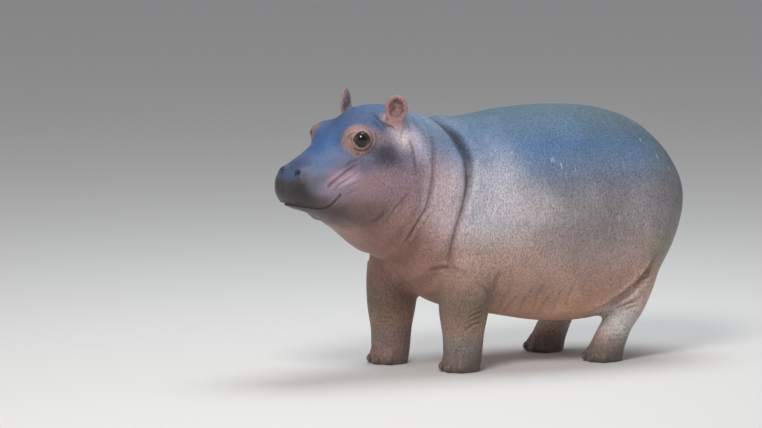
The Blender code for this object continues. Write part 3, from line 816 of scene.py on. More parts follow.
def point_values(obj, name, values):
    """Keep one number or colour for every point of a mesh."""
    if values.ndim == 1:
        layer = obj.data.attributes.new(name, "FLOAT", "POINT")
        layer.data.foreach_set("value", values.astype(np.float32))
    else:
        layer = obj.data.attributes.new(name, "FLOAT_COLOR", "POINT")
        full = np.concatenate([values, np.ones((len(values), 1))], axis=1)
        layer.data.foreach_set("color", full.astype(np.float32).ravel())


def darken(colours, cover):
    return colours * (1.0 - cover)[:, None]


def mix_in(colours, colour, cover):
    return colours * (1.0 - cover)[:, None] + np.array(colour) * cover[:, None]


# %% Spray the hide
# How far ahead of the nape the colours of the body give way to those of the head
HEAD_STARTS = (-0.060, 0.040)

clay = points_of(skin)
outward = normals_of(skin)
ahead, aside, up = head_axes(clay)
behind = clay[:, 0] - nape.x
wide = np.abs(clay[:, 1])
tint = by_height(up, BODY_TINTS)
on_head = ramp(ahead, *HEAD_STARTS)[:, None]
tint = tint * (1.0 - on_head) + by_height(up, HEAD_TINTS) * on_head
for name, centre, reach, colour, strength in BODY_PATCHES:
    tint = spray(tint, (behind, wide, up), centre, reach, colour, strength)
for name, centre, reach, colour, strength in HEAD_PATCHES:
    tint = spray(tint, (ahead, np.abs(aside), up), centre, reach, colour, strength)
print("hide sprayed, colours from", tint.min(axis=0).round(3), "to", tint.max(axis=0).round(3))

# %% Wet the muzzle and paint round the eyes
EYE_FLUSH = (0.370, 0.205, 0.165)
# The flush lies a little ahead of each eye, and ends in a ragged edge between these distances
EYE_FLUSH_AHEAD = 0.010
EYE_FLUSH_EDGE = (0.029, 0.044)
EYE_PAINT_REACH = 0.060
# Rings of colour round the eye: distance from the gaze in openings, half width, colour, strength
LID_PAINTS = (
    (1.26, 0.12, (0.470, 0.310, 0.270), 0.70),
    (1.56, 0.10, (0.110, 0.050, 0.038), 0.95),
    (1.84, 0.12, (0.430, 0.250, 0.200), 0.50),
    (2.13, 0.11, (0.110, 0.055, 0.042), 0.90),
)
# The middle of the wet muzzle and how far the wet reaches, as (ahead, up), and where it stops below
WET_MIDDLE = (0.345, 0.450)
WET_REACH = (0.060, 0.070)
WET_FOOT = (0.405, 0.430)

wet = np.exp(-(((ahead - WET_MIDDLE[0]) / WET_REACH[0]) ** 2 + ((up - WET_MIDDLE[1]) / WET_REACH[1]) ** 2))
wet = wet * ramp(up, *WET_FOOT)
# The right eye's flush is weaker: painted shade on the far side of the head
for eye, side, strength in ((left_eye, 1.0, 0.90), (right_eye, -1.0, 0.60)):
    ray = clay - np.array(eye)
    away = np.linalg.norm(ray - EYE_FLUSH_AHEAD * np.array(ahead_way), axis=1)
    away = away + 0.004 * wander(clay, 90.0, 2.0)
    near = np.linalg.norm(ray, axis=1) < EYE_PAINT_REACH
    flush = strength * (1.0 - ramp(away, *EYE_FLUSH_EDGE)) * near
    tint = mix_in(tint, EYE_FLUSH, flush)
    tint = darken(tint, 0.45 * flush * ramp(wander(clay, 420.0, 5.0), 0.0, 0.6))
    ring, spread, above = lid_rings(ray, side)
    strong = near * (side * (ray @ np.array(side_way)) > 0.0) * (0.78 - 0.22 * above)
    for place, width, colour, cover in LID_PAINTS:
        tint = mix_in(tint, colour, cover * strong * np.exp(-(((spread - place) / width) ** 2)))
    rim = (1.0 - ramp(ring, 1.02, 1.12)) * near
    tint = darken(tint, 0.80 * rim)
    wet = np.maximum(wet, (1.0 - ramp(ring, 1.05, 1.25)) * near)
print("wet skin points:", int((wet > 0.5).sum()))

# %% Paint shade into the neck folds
# Painted shade in the folds and creases: a brown one low down, and a bluish one high on the neck, where the
# deep fold lies in shadow
CREASE_SHADE_PAINT = (0.060, 0.030, 0.028)
FOLD_SHADE = (0.034, 0.034, 0.048)
# Between these heights the brown painted shade low in a fold gives way to a bluish painted shadow
SHADE_STARTS = (0.450, 0.540)
# The strength of the painted shade grows by this much for each metre that a fold is deeper than a faint one
COVER_PER_DEPTH = 110.0
FAINT_DEPTH = 0.0008
FOLD_PAINT_REACH = 0.0020
# Past this depth the painted shade also widens and moves toward the shoulder
BROAD_DEPTH = 0.008

for places, depths, foot, *_ in FOLDS:
    deep = np.interp(up, FOLD_HEIGHTS, depths)
    broader = 0.5 * np.maximum(deep - BROAD_DEPTH, 0.0)
    gap = np.abs(behind - np.interp(up, FOLD_HEIGHTS, places) - broader)
    reach = FOLD_PAINT_REACH + 0.45 * deep + broader
    cover = np.clip(COVER_PER_DEPTH * (deep - FAINT_DEPTH), 0.0, 0.95) * np.exp(-((gap / reach) ** 2))
    shaded = ramp(up, *SHADE_STARTS)
    tint = mix_in(tint, CREASE_SHADE_PAINT, cover * ramp(up, foot, foot + FOLD_FADE) * (1.0 - shaded))
    tint = mix_in(tint, FOLD_SHADE, cover * shaded)
print("neck folds painted:", len(FOLDS))

# %% Paint shade into the creases, and pink into the cheek grooves
# Painted shade: the brown crease paint darkens the mouth line and every crease, GROOVE_SHADE the fine grooves
# of the cheek, and NOSTRIL_DARK the hollows of the nostrils. GROOVE_FLUSH is the pink skin of the cheek
# grooves.
GROOVE_FLUSH = (0.390, 0.215, 0.285)
GROOVE_SHADE = (0.120, 0.070, 0.085)
NOSTRIL_DARK = (0.004, 0.003, 0.003)
# Line, colour, how far it reaches to each side, strength
LINE_PAINTS = [("mouth", CREASE_SHADE_PAINT, 0.0034, 0.90)]
for side in ("+1", "-1"):
    LINE_PAINTS.append((f"nostril_{side}", NOSTRIL_DARK, 0.0056, 0.97))
    LINE_PAINTS.append((f"cheek_groove_{side}", GROOVE_FLUSH, 0.0080, 0.55))
    LINE_PAINTS.append((f"cheek_groove_{side}", CREASE_SHADE_PAINT, 0.0030, 0.85))
    for name in ("cheek_line", "jowl", "behind_ear", "ear_fold"):
        LINE_PAINTS.append((f"{name}_{side}", CREASE_SHADE_PAINT, 0.0028, 0.60))
    for name in ("over_groove", "under_groove", "low_groove", "lip_fan"):
        LINE_PAINTS.append((f"{name}_{side}", GROOVE_SHADE, 0.0026, 0.26))
for leg in ("left", "right"):
    LINE_PAINTS.append((f"flank_{leg}", CREASE_SHADE_PAINT, 0.0060, 0.75))
    for name in ("shoulder", "elbow", "armpit"):
        LINE_PAINTS.append((f"{name}_{leg}", CREASE_SHADE_PAINT, 0.0040, 0.45))
    for k in range(BELLY_CREASES):
        LINE_PAINTS.append((f"belly_{k}_{leg}", CREASE_SHADE_PAINT, 0.0034, 0.30))
    for k in range(SHANK_WRINKLES):
        LINE_PAINTS.append((f"shank_{k}_{leg}", CREASE_SHADE_PAINT, 0.0034, 0.45))
    for k in range(ELBOW_WRINKLES):
        LINE_PAINTS.append((f"elbow_{k}_{leg}", CREASE_SHADE_PAINT, 0.0032, 0.40))
for name, colour, reach, strength in LINE_PAINTS:
    picked, away, along = near_line(lines[name], 3.0 * reach)
    fade = 1.0 if name == "mouth" else fade_ends(1.0, along, 0.20)
    tint[picked] = mix_in(tint[picked], colour, strength * fade * np.exp(-((away / reach) ** 2)))
print("creases painted:", len(LINE_PAINTS))

# %% Paint the ears and the legs
EAR_INSIDE = (0.460, 0.250, 0.220)
EAR_BACK = (0.210, 0.145, 0.150)
# Skin nearer the middle of the body than this belongs to no leg
LEG_INNER_SIDE = 0.02

ear_hollow = np.zeros(len(clay))
for side in (1.0, -1.0):
    from_middle, here, facing, open_way = ear_places(side)
    tint = mix_in(tint, EAR_INSIDE, 0.90 * here * facing)
    tint = mix_in(tint, EAR_BACK, 0.75 * here * (1.0 - facing))
    ear_hollow = np.maximum(ear_hollow, here * facing * (1.0 - ramp(from_middle, 0.60, 1.05)))
# The ear hollows are darkened: painted shade in the dish of each ear
tint = darken(tint, 0.25 * ear_hollow)
for leg in LEGS:
    foot = middle_of(f"{leg}_foot")
    out = np.sign(foot.y)
    near = out * clay[:, 1] > LEG_INNER_SIDE
    places = (clay[:, 0] - foot.x, out * (clay[:, 1] - foot.y), up)
    patches = FRONT_LEG_PATCHES if leg.startswith("front") else HIND_LEG_PATCHES
    for name, centre, reach, colour, strength in patches:
        tint[near] = spray(tint, places, centre, reach, colour, strength)[near]
wave, there = ankle_rings(clay)
# The grooves between the ankle rings are darkened: painted shade in the creases
tint = darken(tint, there * np.clip(-0.9 * wave, 0.0, 0.5))
print("hide colours now from", tint.min(axis=0).round(3), "to", tint.max(axis=0).round(3))

# %% Keep the paint on the skin
# The grain grows faint between these places ahead of the nape, but less so near an eye, which ends
# between these distances from it
FACE_GRAIN = (0.130, 0.230)
EYE_GRAIN = (0.030, 0.042)
# Scratches set in between these places behind the nape, and between these heights
WORN_BEHIND = (0.110, 0.180)
WORN_ABOVE = (0.200, 0.260)

smooth_face = ramp(ahead, *FACE_GRAIN)
from_left, from_right = (np.linalg.norm(clay - np.array(eye), axis=1) for eye in (left_eye, right_eye))
around_eyes = 1.0 - ramp(np.minimum(from_left, from_right), *EYE_GRAIN)
point_values(skin, "tint", np.clip(tint, 0.0, 1.0))
point_values(skin, "wet", np.clip(wet, 0.0, 1.0))
point_values(skin, "ear", ear_hollow)
point_values(skin, "grain", 1.0 - smooth_face * (0.62 - 0.35 * around_eyes))
point_values(skin, "worn", 0.65 * ramp(behind, *WORN_BEHIND) * ramp(up, *WORN_ABOVE))
print("kept on every point:", [layer.name for layer in skin.data.attributes if layer.domain == "POINT"])

# %% [markdown]
# ## Grain of the hide
# Close up, the hide is a net of fine creases, longer upright than across, with pale specks on the ridges,
# partly dust and partly painted glints.
# One shader group makes this grain from the object's own coordinates, so it is the same size everywhere.
# It gives a height for the bump and a tone for the colour, and serves the nails too, with other values.
# A second group gives the thin, sparse scratches.

# %% Shader helpers
def add_node(tree, kind, **settings):
    made = tree.nodes.new(kind)
    for key, value in settings.items():
        setattr(made, key, value)
    return made


def feed(tree, socket, source):
    """Link a socket, or give it a plain value."""
    if isinstance(source, bpy.types.NodeSocket):
        tree.links.new(source, socket)
    else:
        socket.default_value = source


def math_node(tree, operation, one, two=0.0):
    made = add_node(tree, "ShaderNodeMath", operation=operation)
    feed(tree, made.inputs[0], one)
    feed(tree, made.inputs[1], two)
    return made.outputs[0]


def span_node(tree, value, low, high, out_low=0.0, out_high=1.0):
    made = add_node(tree, "ShaderNodeMapRange", clamp=True)
    for socket, source in zip(made.inputs[:5], (value, low, high, out_low, out_high)):
        feed(tree, socket, source)
    return made.outputs[0]


def noise_node(tree, vector, scale, detail, rough):
    made = add_node(tree, "ShaderNodeTexNoise")
    feed(tree, made.inputs["Vector"], vector)
    feed(tree, made.inputs["Scale"], scale)
    feed(tree, made.inputs["Detail"], detail)
    feed(tree, made.inputs["Roughness"], rough)
    return made.outputs[0]


def mix_node(tree, share, one, other):
    """One colour, and the other where the share is 1."""
    made = add_node(tree, "ShaderNodeMix", data_type="RGBA")
    for index, source in ((0, share), (6, one), (7, other)):
        feed(tree, made.inputs[index], source)
    return made.outputs[2]


def bump_node(tree, height, strength, distance):
    made = add_node(tree, "ShaderNodeBump")
    for label, source in (("Height", height), ("Strength", strength), ("Distance", distance)):
        feed(tree, made.inputs[label], source)
    return made.outputs[0]


def kept_value(tree, name):
    """A number that was kept on the points of the mesh."""
    return add_node(tree, "ShaderNodeAttribute", attribute_name=name).outputs["Fac"]


def own_place(tree):
    """Where a point is in the object's own coordinates, in metres."""
    return add_node(tree, "ShaderNodeTexCoord").outputs["Object"]


def start_material(name):
    """A new material, its nodes and its shader."""
    made = bpy.data.materials.new(name)
    made.use_nodes = True
    return made, made.node_tree, made.node_tree.nodes["Principled BSDF"]


# %% Grain and scratches
def grain_group():
    group = bpy.data.node_groups.new("hide_grain", "ShaderNodeTree")
    face = group.interface
    face.new_socket("Vector", in_out="INPUT", socket_type="NodeSocketVector")
    for label, value in (("Fineness", 260.0), ("Stretch", 2.6), ("Crease", 0.5)):
        face.new_socket(label, in_out="INPUT", socket_type="NodeSocketFloat").default_value = value
    for label in ("Height", "Tone"):
        face.new_socket(label, in_out="OUTPUT", socket_type="NodeSocketFloat")
    begin = add_node(group, "NodeGroupInput")
    end = add_node(group, "NodeGroupOutput")
    pull = add_node(group, "ShaderNodeCombineXYZ")
    fineness = begin.outputs["Fineness"]
    upright = math_node(group, "DIVIDE", fineness, begin.outputs["Stretch"])
    for socket, source in zip(pull.inputs, (fineness, fineness, upright)):
        feed(group, socket, source)
    stretched = add_node(group, "ShaderNodeVectorMath", operation="MULTIPLY")
    feed(group, stretched.inputs[0], begin.outputs["Vector"])
    feed(group, stretched.inputs[1], pull.outputs[0])
    where = stretched.outputs[0]
    pebbles = span_node(group, noise_node(group, where, 1.0, 2.0, 0.6), 0.28, 0.72)
    cells = add_node(group, "ShaderNodeTexVoronoi", feature="DISTANCE_TO_EDGE")
    feed(group, cells.inputs["Vector"], where)
    feed(group, cells.inputs["Scale"], 0.95)
    net = span_node(group, cells.outputs["Distance"], 0.0, 0.22)
    long_noise = noise_node(group, where, 0.17, 4.0, 0.6)
    ridge = math_node(group, "ABSOLUTE", math_node(group, "SUBTRACT", long_noise, 0.5))
    long_crease = span_node(group, ridge, 0.0, 0.045)
    pebbles_part = math_node(group, "MULTIPLY", pebbles, 0.70)
    fine = math_node(group, "ADD", pebbles_part, math_node(group, "MULTIPLY", net, 0.30))
    deep = math_node(group, "MULTIPLY", long_crease, begin.outputs["Crease"])
    feed(group, end.inputs["Height"], math_node(group, "ADD", fine, deep))
    crease_tone = span_node(group, long_crease, 0.0, 1.0, 0.8, 1.0)
    feed(group, end.inputs["Tone"], math_node(group, "MULTIPLY", fine, crease_tone))
    return group


def scratch_group():
    """Sparse, thin, mostly upright scratches: where a drawn-out noise peaks inside a few patches."""
    group = bpy.data.node_groups.new("hide_scratches", "ShaderNodeTree")
    face = group.interface
    face.new_socket("Vector", in_out="INPUT", socket_type="NodeSocketVector")
    face.new_socket("Amount", in_out="INPUT", socket_type="NodeSocketFloat").default_value = 0.5
    face.new_socket("Mask", in_out="OUTPUT", socket_type="NodeSocketFloat")
    begin = add_node(group, "NodeGroupInput")
    end = add_node(group, "NodeGroupOutput")
    drawn = add_node(group, "ShaderNodeMapping")
    feed(group, drawn.inputs["Vector"], begin.outputs["Vector"])
    drawn.inputs["Rotation"].default_value = (0.0, 0.22, 0.0)
    drawn.inputs["Scale"].default_value = (210.0, 60.0, 9.0)
    streak = span_node(group, noise_node(group, drawn.outputs[0], 1.0, 1.0, 0.4), 0.70, 0.77)
    patches = span_node(group, noise_node(group, begin.outputs["Vector"], 7.0, 2.0, 0.5), 0.46, 0.60)
    strong = math_node(group, "MULTIPLY", streak, patches)
    feed(group, end.inputs["Mask"], math_node(group, "MULTIPLY", strong, begin.outputs["Amount"]))
    return group


def grain_node(tree, place, fineness, stretch, crease_height):
    """The grain for one material: its height and its tone."""
    made = add_node(tree, "ShaderNodeGroup", node_tree=hide_grain)
    wanted = {"Vector": place, "Fineness": fineness, "Stretch": stretch, "Crease": crease_height}
    for label, source in wanted.items():
        feed(tree, made.inputs[label], source)
    return made.outputs["Height"], made.outputs["Tone"]


hide_grain = grain_group()
hide_scratches = scratch_group()
print("shader groups:", [group.name for group in (hide_grain, hide_scratches)])

# %% [markdown]
# ## The hide's own material
# The painted colour is made lighter and darker by the grain and by a slow mottling, with blotches in the
# ears. Pale specks, partly dried mud and partly painted glints, and scratches of dried mud lie over it. The
# wet muzzle and the eye rims are less rough and lie under a thin clear coat of water. A smooth coat would
# give one broad glare, so the coat has its own lumpy normal, which breaks the light into beads as drops do.

# %% Material of the hide
GRAIN_FINENESS = 390.0
GRAIN_STRETCH = 2.3
GRAIN_CREASE = 0.55
RELIEF_DEPTH = 0.0013
# Pale specks, partly dust and partly painted glints of light on the grain
SPECK_AND_GLINT_COLOUR = (0.62, 0.57, 0.55, 1.0)
SCRATCH_COLOUR = (0.72, 0.68, 0.66, 1.0)
SHEEN = 0.40
WET_SMOOTHNESS = 0.20
WATER_WEIGHT = 0.28
WATER_ROUGHNESS = 0.12
BEAD_FINENESS = 260.0
BEAD_HEIGHT = 0.0030


def hide_colour(tree, place, tone, wetness, coarse):
    """The painted colour with its grain, mottling, blotches, specks that are partly painted glints, and
    scratches.
    """
    mottle = noise_node(tree, place, 11.0, 5.0, 0.6)
    blotch = noise_node(tree, place, 95.0, 3.0, 0.6)
    specks = span_node(tree, noise_node(tree, place, 330.0, 2.0, 0.5), 0.60, 0.72)
    swing = math_node(tree, "MULTIPLY", span_node(tree, tone, 0.12, 0.76, -0.48, 0.22), coarse)
    value = math_node(tree, "ADD", 1.0, swing)
    value = math_node(tree, "MULTIPLY", value, span_node(tree, mottle, 0.3, 0.7, 0.86, 1.14))
    spotted = span_node(tree, blotch, 0.46, 0.58, 0.0, 0.48)
    spots = math_node(tree, "MULTIPLY", kept_value(tree, "ear"), spotted)
    value = math_node(tree, "MULTIPLY", value, math_node(tree, "SUBTRACT", 1.0, spots))
    toned = add_node(tree, "ShaderNodeHueSaturation")
    paint = add_node(tree, "ShaderNodeAttribute", attribute_name="tint").outputs["Color"]
    feed(tree, toned.inputs["Color"], paint)
    feed(tree, toned.inputs["Value"], value)
    # The pale specks are partly dust and partly painted glints, and stay off the wet skin
    dry_specks_and_glints = math_node(tree, "MULTIPLY", specks, span_node(tree, wetness, 0.0, 0.6, 0.16, 0.0))
    dusted_and_glinting = mix_node(tree, dry_specks_and_glints, toned.outputs[0], SPECK_AND_GLINT_COLOUR)
    scratches = add_node(tree, "ShaderNodeGroup", node_tree=hide_scratches)
    feed(tree, scratches.inputs["Vector"], place)
    feed(tree, scratches.inputs["Amount"], kept_value(tree, "worn"))
    return mix_node(tree, scratches.outputs["Mask"], dusted_and_glinting, SCRATCH_COLOUR)


def hide_material():
    made, tree, surface = start_material("calf_hide")
    place = own_place(tree)
    wetness, coarse = kept_value(tree, "wet"), kept_value(tree, "grain")
    height, tone = grain_node(tree, place, GRAIN_FINENESS, GRAIN_STRETCH, GRAIN_CREASE)
    feed(tree, surface.inputs["Base Color"], hide_colour(tree, place, tone, wetness, coarse))
    dry = span_node(tree, tone, 0.2, 0.8, 0.52, 0.38)
    wet_part = math_node(tree, "MULTIPLY", wetness, WET_SMOOTHNESS)
    feed(tree, surface.inputs["Roughness"], math_node(tree, "SUBTRACT", dry, wet_part))
    feed(tree, surface.inputs["Specular IOR Level"], SHEEN)
    relief = bump_node(tree, height, span_node(tree, coarse, 0.0, 1.0, 0.40, 0.80), RELIEF_DEPTH)
    feed(tree, surface.inputs["Normal"], relief)
    feed(tree, surface.inputs["Coat Weight"], math_node(tree, "MULTIPLY", wetness, WATER_WEIGHT))
    feed(tree, surface.inputs["Coat Roughness"], WATER_ROUGHNESS)
    beads = noise_node(tree, place, BEAD_FINENESS, 2.0, 0.5)
    feed(tree, surface.inputs["Coat Normal"], bump_node(tree, beads, 1.0, BEAD_HEIGHT))
    return made


skin.data.materials.clear()
skin.data.materials.append(hide_material())
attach(skin, "root")
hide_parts(*FLESH)
print("skin dressed")

# %% [markdown]
# ## Eyes
# A hippopotamus has large, dark, wet eyes. Each is a ball with a slightly bulging cornea, turned toward
# where the calf looks. Every point keeps its angle from the gaze, and the material reads that angle as
# pupil, dark brown iris, a darker ring and the brownish white of the eye.

# %% Model the eyeballs
CORNEA_BULGE = 0.0012
CORNEA_ANGLE = 0.95
BALL_CLEARANCE = 0.0002


def eyeball(name, centre, side):
    gaze = gaze_of(side)
    turn = gaze.to_track_quat("Z", "Y")
    work = bmesh.new()
    bmesh.ops.create_uvsphere(work, u_segments=48, v_segments=40, radius=1.0)
    angles = []
    for vert in work.verts:
        angle = math.acos(max(-1.0, min(1.0, vert.co.z)))
        bulge = CORNEA_BULGE * (1.0 - float(ramp(angle, 0.0, CORNEA_ANGLE)))
        vert.co = centre + turn @ vert.co * (eye_radius - BALL_CLEARANCE + bulge)
        angles.append(angle)
    made = finish_mesh(name, work)
    shade_smoothly(made)
    point_values(made, "from_gaze", np.array(angles))
    return made


# %% Material of the eyes
# Where each colour of the eye is: share of the widest angle from the gaze, colour
EYE_STOPS = (
    (0.00, (0.002, 0.002, 0.003)),
    (0.24, (0.003, 0.003, 0.004)),
    (0.29, (0.022, 0.014, 0.011)),
    (0.44, (0.030, 0.019, 0.014)),
    (0.50, (0.006, 0.005, 0.005)),
    (0.56, (0.120, 0.075, 0.055)),
    (1.00, (0.220, 0.120, 0.090)),
)
WIDEST_ANGLE = 1.6
IRIS_WOBBLE = 0.05
EYE_SHINE = {"Roughness": 0.04, "Specular IOR Level": 0.36, "Coat Weight": 0.3, "Coat Roughness": 0.02}


def eye_material():
    made, tree, surface = start_material("calf_eye")
    place = own_place(tree)
    streaks = noise_node(tree, place, 420.0, 3.0, 0.6)
    wobble = math_node(tree, "MULTIPLY", math_node(tree, "SUBTRACT", streaks, 0.5), IRIS_WOBBLE)
    angle = math_node(tree, "ADD", kept_value(tree, "from_gaze"), wobble)
    rings = add_node(tree, "ShaderNodeValToRGB")
    feed(tree, rings.inputs[0], math_node(tree, "DIVIDE", angle, WIDEST_ANGLE))
    ramp_stops = rings.color_ramp.elements
    for index, (where, colour) in enumerate(EYE_STOPS):
        stop = ramp_stops[index] if index < 2 else ramp_stops.new(where)
        stop.position = where
        stop.color = (*colour, 1.0)
    feed(tree, surface.inputs["Base Color"], rings.outputs[0])
    for label, value in EYE_SHINE.items():
        feed(tree, surface.inputs[label], value)
    return made


eye_paint = eye_material()
for name, centre, side in (("left", left_eye, 1.0), ("right", right_eye, -1.0)):
    ball = eyeball(f"{name}_eyeball", centre, side)
    ball.data.materials.append(eye_paint)
    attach(ball, "root")
    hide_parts(f"{name}_eye")
print("eyes modelled, bulging", CORNEA_BULGE, "m at the cornea")

# %% [markdown]
# ## Toenails
# A hippopotamus walks on four toes, each with a short blunt nail like a small hoof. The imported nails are
# faceted knobs, so each foot's four are merged, spread round their toes and flattened in front. A fine
# remesh then rounds them, and they get grey-brown horn. The horn uses the same grain group as the hide,
# drawn out much longer, which gives the fine ribs of a nail.

# %% Model the nails
NAIL_VOXEL = 0.0012
NAIL_ROUNDS = 18
# A nail's width, and how far its front stands out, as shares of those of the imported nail
NAIL_SPREAD = 1.22
NAIL_FLATNESS = 0.84
RIB_FINENESS = 900.0
RIB_STRETCH = 9.0
RIB_CREASE = 0.2
RIB_DEPTH = 0.0004
HORN_DARK = (0.085, 0.068, 0.060, 1.0)
HORN_LIGHT = (0.205, 0.165, 0.140, 1.0)
HORN_ROUGHNESS = 0.36


def flatten_nails(obj, names, foot):
    """Spread each nail round its toe and flatten its front, so that it lies on the toe like a small hoof."""
    points = points_of(obj)
    middles = np.array([middle_of(name)[:] for name in names])
    nearest = np.linalg.norm(points[:, None, :] - middles[None, :, :], axis=2).argmin(axis=1)
    for k, middle in enumerate(middles):
        mine = nearest == k
        out = np.array([middle[0] - foot.x, middle[1] - foot.y, 0.0])
        out /= np.linalg.norm(out)
        across = np.cross([0.0, 0.0, 1.0], out)
        ray = points[mine] - middle
        front, width = ray @ out, ray @ across
        flatter = np.where(front > 0.0, NAIL_FLATNESS - 1.0, 0.0) * front
        points[mine] += flatter[:, None] * out + ((NAIL_SPREAD - 1.0) * width)[:, None] * across
    set_points(obj, points)


def horn_material():
    made, tree, surface = start_material("calf_horn")
    place = own_place(tree)
    height, tone = grain_node(tree, place, RIB_FINENESS, RIB_STRETCH, RIB_CREASE)
    shade = mix_node(tree, span_node(tree, tone, 0.2, 0.8), HORN_DARK, HORN_LIGHT)
    feed(tree, surface.inputs["Base Color"], shade)
    feed(tree, surface.inputs["Roughness"], HORN_ROUGHNESS)
    feed(tree, surface.inputs["Normal"], bump_node(tree, height, 0.5, RIB_DEPTH))
    return made


horn = horn_material()
for leg in LEGS:
    names = nails_of(leg)
    nails = merged_copy(names, f"{leg}_nails")
    flatten_nails(nails, names, middle_of(f"{leg}_foot"))
    bake(nails, "REMESH", mode="VOXEL", voxel_size=NAIL_VOXEL)
    smooth(nails, np.ones(len(nails.data.vertices)), NAIL_ROUNDS)
    shade_smoothly(nails)
    nails.data.materials.clear()
    nails.data.materials.append(horn)
    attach(nails, "root")
    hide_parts(*names)
    print(nails.name, len(names), "nails,", len(nails.data.polygons), "faces")

# %% [markdown]
# ## Bristles
# A hippopotamus is almost bare. It has fine hairs on the ears, short stiff bristles on the muzzle and a
# thin tuft at the tip of the tail. Each hair is a bent, tapering three-sided spike. Geometry Nodes sow
# the spikes over a piece of the skin, turned to stand off it, and make them real mesh. Each hair keeps
# the place and direction of its root, which later give it its patch on the box unwrap of the skin.

# %% The bristle nodes
HAIR_SIDES = 3
HAIR_SECTIONS = 3
HAIR_TIP = 0.15
# The sides of every section, and the two ends
FACES_OF_HAIR = HAIR_SIDES * HAIR_SECTIONS + 2
# How far a hair leans at random and how far it may be spun, in radians
HAIR_TILT = 0.35
FULL_TURN = 6.28
# The smallest and the largest hair, as shares of the wanted size
HAIR_SIZES = (0.55, 1.20)


def bristle_group():
    group = bpy.data.node_groups.new("bristles", "GeometryNodeTree")
    face = group.interface
    face.new_socket("Geometry", in_out="INPUT", socket_type="NodeSocketGeometry")
    for label in ("Density", "Length", "Thickness", "Lean", "Hang"):
        face.new_socket(label, in_out="INPUT", socket_type="NodeSocketFloat")
    face.new_socket("Seed", in_out="INPUT", socket_type="NodeSocketInt")
    face.new_socket("Material", in_out="INPUT", socket_type="NodeSocketMaterial")
    face.new_socket("Geometry", in_out="OUTPUT", socket_type="NodeSocketGeometry")
    begin = add_node(group, "NodeGroupInput")
    end = add_node(group, "NodeGroupOutput")

    roots = add_node(group, "GeometryNodeDistributePointsOnFaces", distribute_method="RANDOM")
    feed(group, roots.inputs["Mesh"], begin.outputs["Geometry"])
    feed(group, roots.inputs["Density"], begin.outputs["Density"])
    feed(group, roots.inputs["Seed"], begin.outputs["Seed"])
    points = roots.outputs["Points"]
    root_place = add_node(group, "GeometryNodeInputPosition").outputs[0]
    for label, value in (("root_place", root_place), ("root_normal", roots.outputs["Normal"])):
        keep = add_node(group, "GeometryNodeStoreNamedAttribute", data_type="FLOAT_VECTOR", domain="POINT")
        feed(group, keep.inputs["Geometry"], points)
        keep.inputs["Name"].default_value = label
        feed(group, keep.inputs["Value"], value)
        points = keep.outputs[0]

    spike = add_node(group, "GeometryNodeMeshCone", fill_type="NGON")
    spike.inputs["Vertices"].default_value = HAIR_SIDES
    spike.inputs["Side Segments"].default_value = HAIR_SECTIONS
    tip = math_node(group, "MULTIPLY", begin.outputs["Thickness"], HAIR_TIP)
    feed(group, spike.inputs["Radius Top"], tip)
    feed(group, spike.inputs["Radius Bottom"], begin.outputs["Thickness"])
    feed(group, spike.inputs["Depth"], begin.outputs["Length"])
    along = add_node(group, "ShaderNodeSeparateXYZ")
    feed(group, along.inputs[0], add_node(group, "GeometryNodeInputPosition").outputs[0])
    rise = math_node(group, "DIVIDE", along.outputs[2], begin.outputs["Length"])
    droop = math_node(group, "MULTIPLY", math_node(group, "MULTIPLY", rise, rise), begin.outputs["Lean"])
    shift = add_node(group, "ShaderNodeCombineXYZ")
    feed(group, shift.inputs[0], math_node(group, "MULTIPLY", droop, begin.outputs["Length"]))
    bent = add_node(group, "GeometryNodeSetPosition")
    feed(group, bent.inputs["Geometry"], spike.outputs["Mesh"])
    feed(group, bent.inputs["Offset"], shift.outputs[0])

    spin = add_node(group, "FunctionNodeRandomValue", data_type="FLOAT_VECTOR")
    spin.inputs[0].default_value = (-HAIR_TILT, -HAIR_TILT, 0.0)
    spin.inputs[1].default_value = (HAIR_TILT, HAIR_TILT, FULL_TURN)
    down = add_node(group, "ShaderNodeCombineXYZ")
    feed(group, down.inputs[2], math_node(group, "MULTIPLY", begin.outputs["Hang"], -1.0))
    hung = add_node(group, "ShaderNodeVectorMath", operation="ADD")
    feed(group, hung.inputs[0], roots.outputs["Normal"])
    feed(group, hung.inputs[1], down.outputs[0])
    standing = add_node(group, "FunctionNodeAlignRotationToVector", axis="Z")
    feed(group, standing.inputs["Vector"], hung.outputs[0])
    turned = add_node(group, "FunctionNodeRotateRotation", rotation_space="LOCAL")
    feed(group, turned.inputs[0], standing.outputs[0])
    feed(group, turned.inputs[1], spin.outputs[0])
    size = add_node(group, "FunctionNodeRandomValue", data_type="FLOAT")
    size.inputs[2].default_value, size.inputs[3].default_value = HAIR_SIZES
    planted = add_node(group, "GeometryNodeInstanceOnPoints")
    feed(group, planted.inputs["Points"], points)
    feed(group, planted.inputs["Instance"], bent.outputs[0])
    feed(group, planted.inputs["Rotation"], turned.outputs[0])
    feed(group, planted.inputs["Scale"], size.outputs[1])
    real = add_node(group, "GeometryNodeRealizeInstances")
    feed(group, real.inputs[0], planted.outputs[0])
    painted = add_node(group, "GeometryNodeSetMaterial")
    feed(group, painted.inputs["Geometry"], real.outputs[0])
    feed(group, painted.inputs["Material"], begin.outputs["Material"])
    feed(group, end.inputs[0], painted.outputs[0])
    return group


bristles = bristle_group()
print("bristle nodes:", len(bristles.nodes))

# %% Unwrap of the skin's shape as six sides of a box
# The share of the map that one hair's patch covers
COAT_PATCH = 0.003
# The margin round each side of the box in the map, as a share of the side
BOX_MARGIN = 0.02


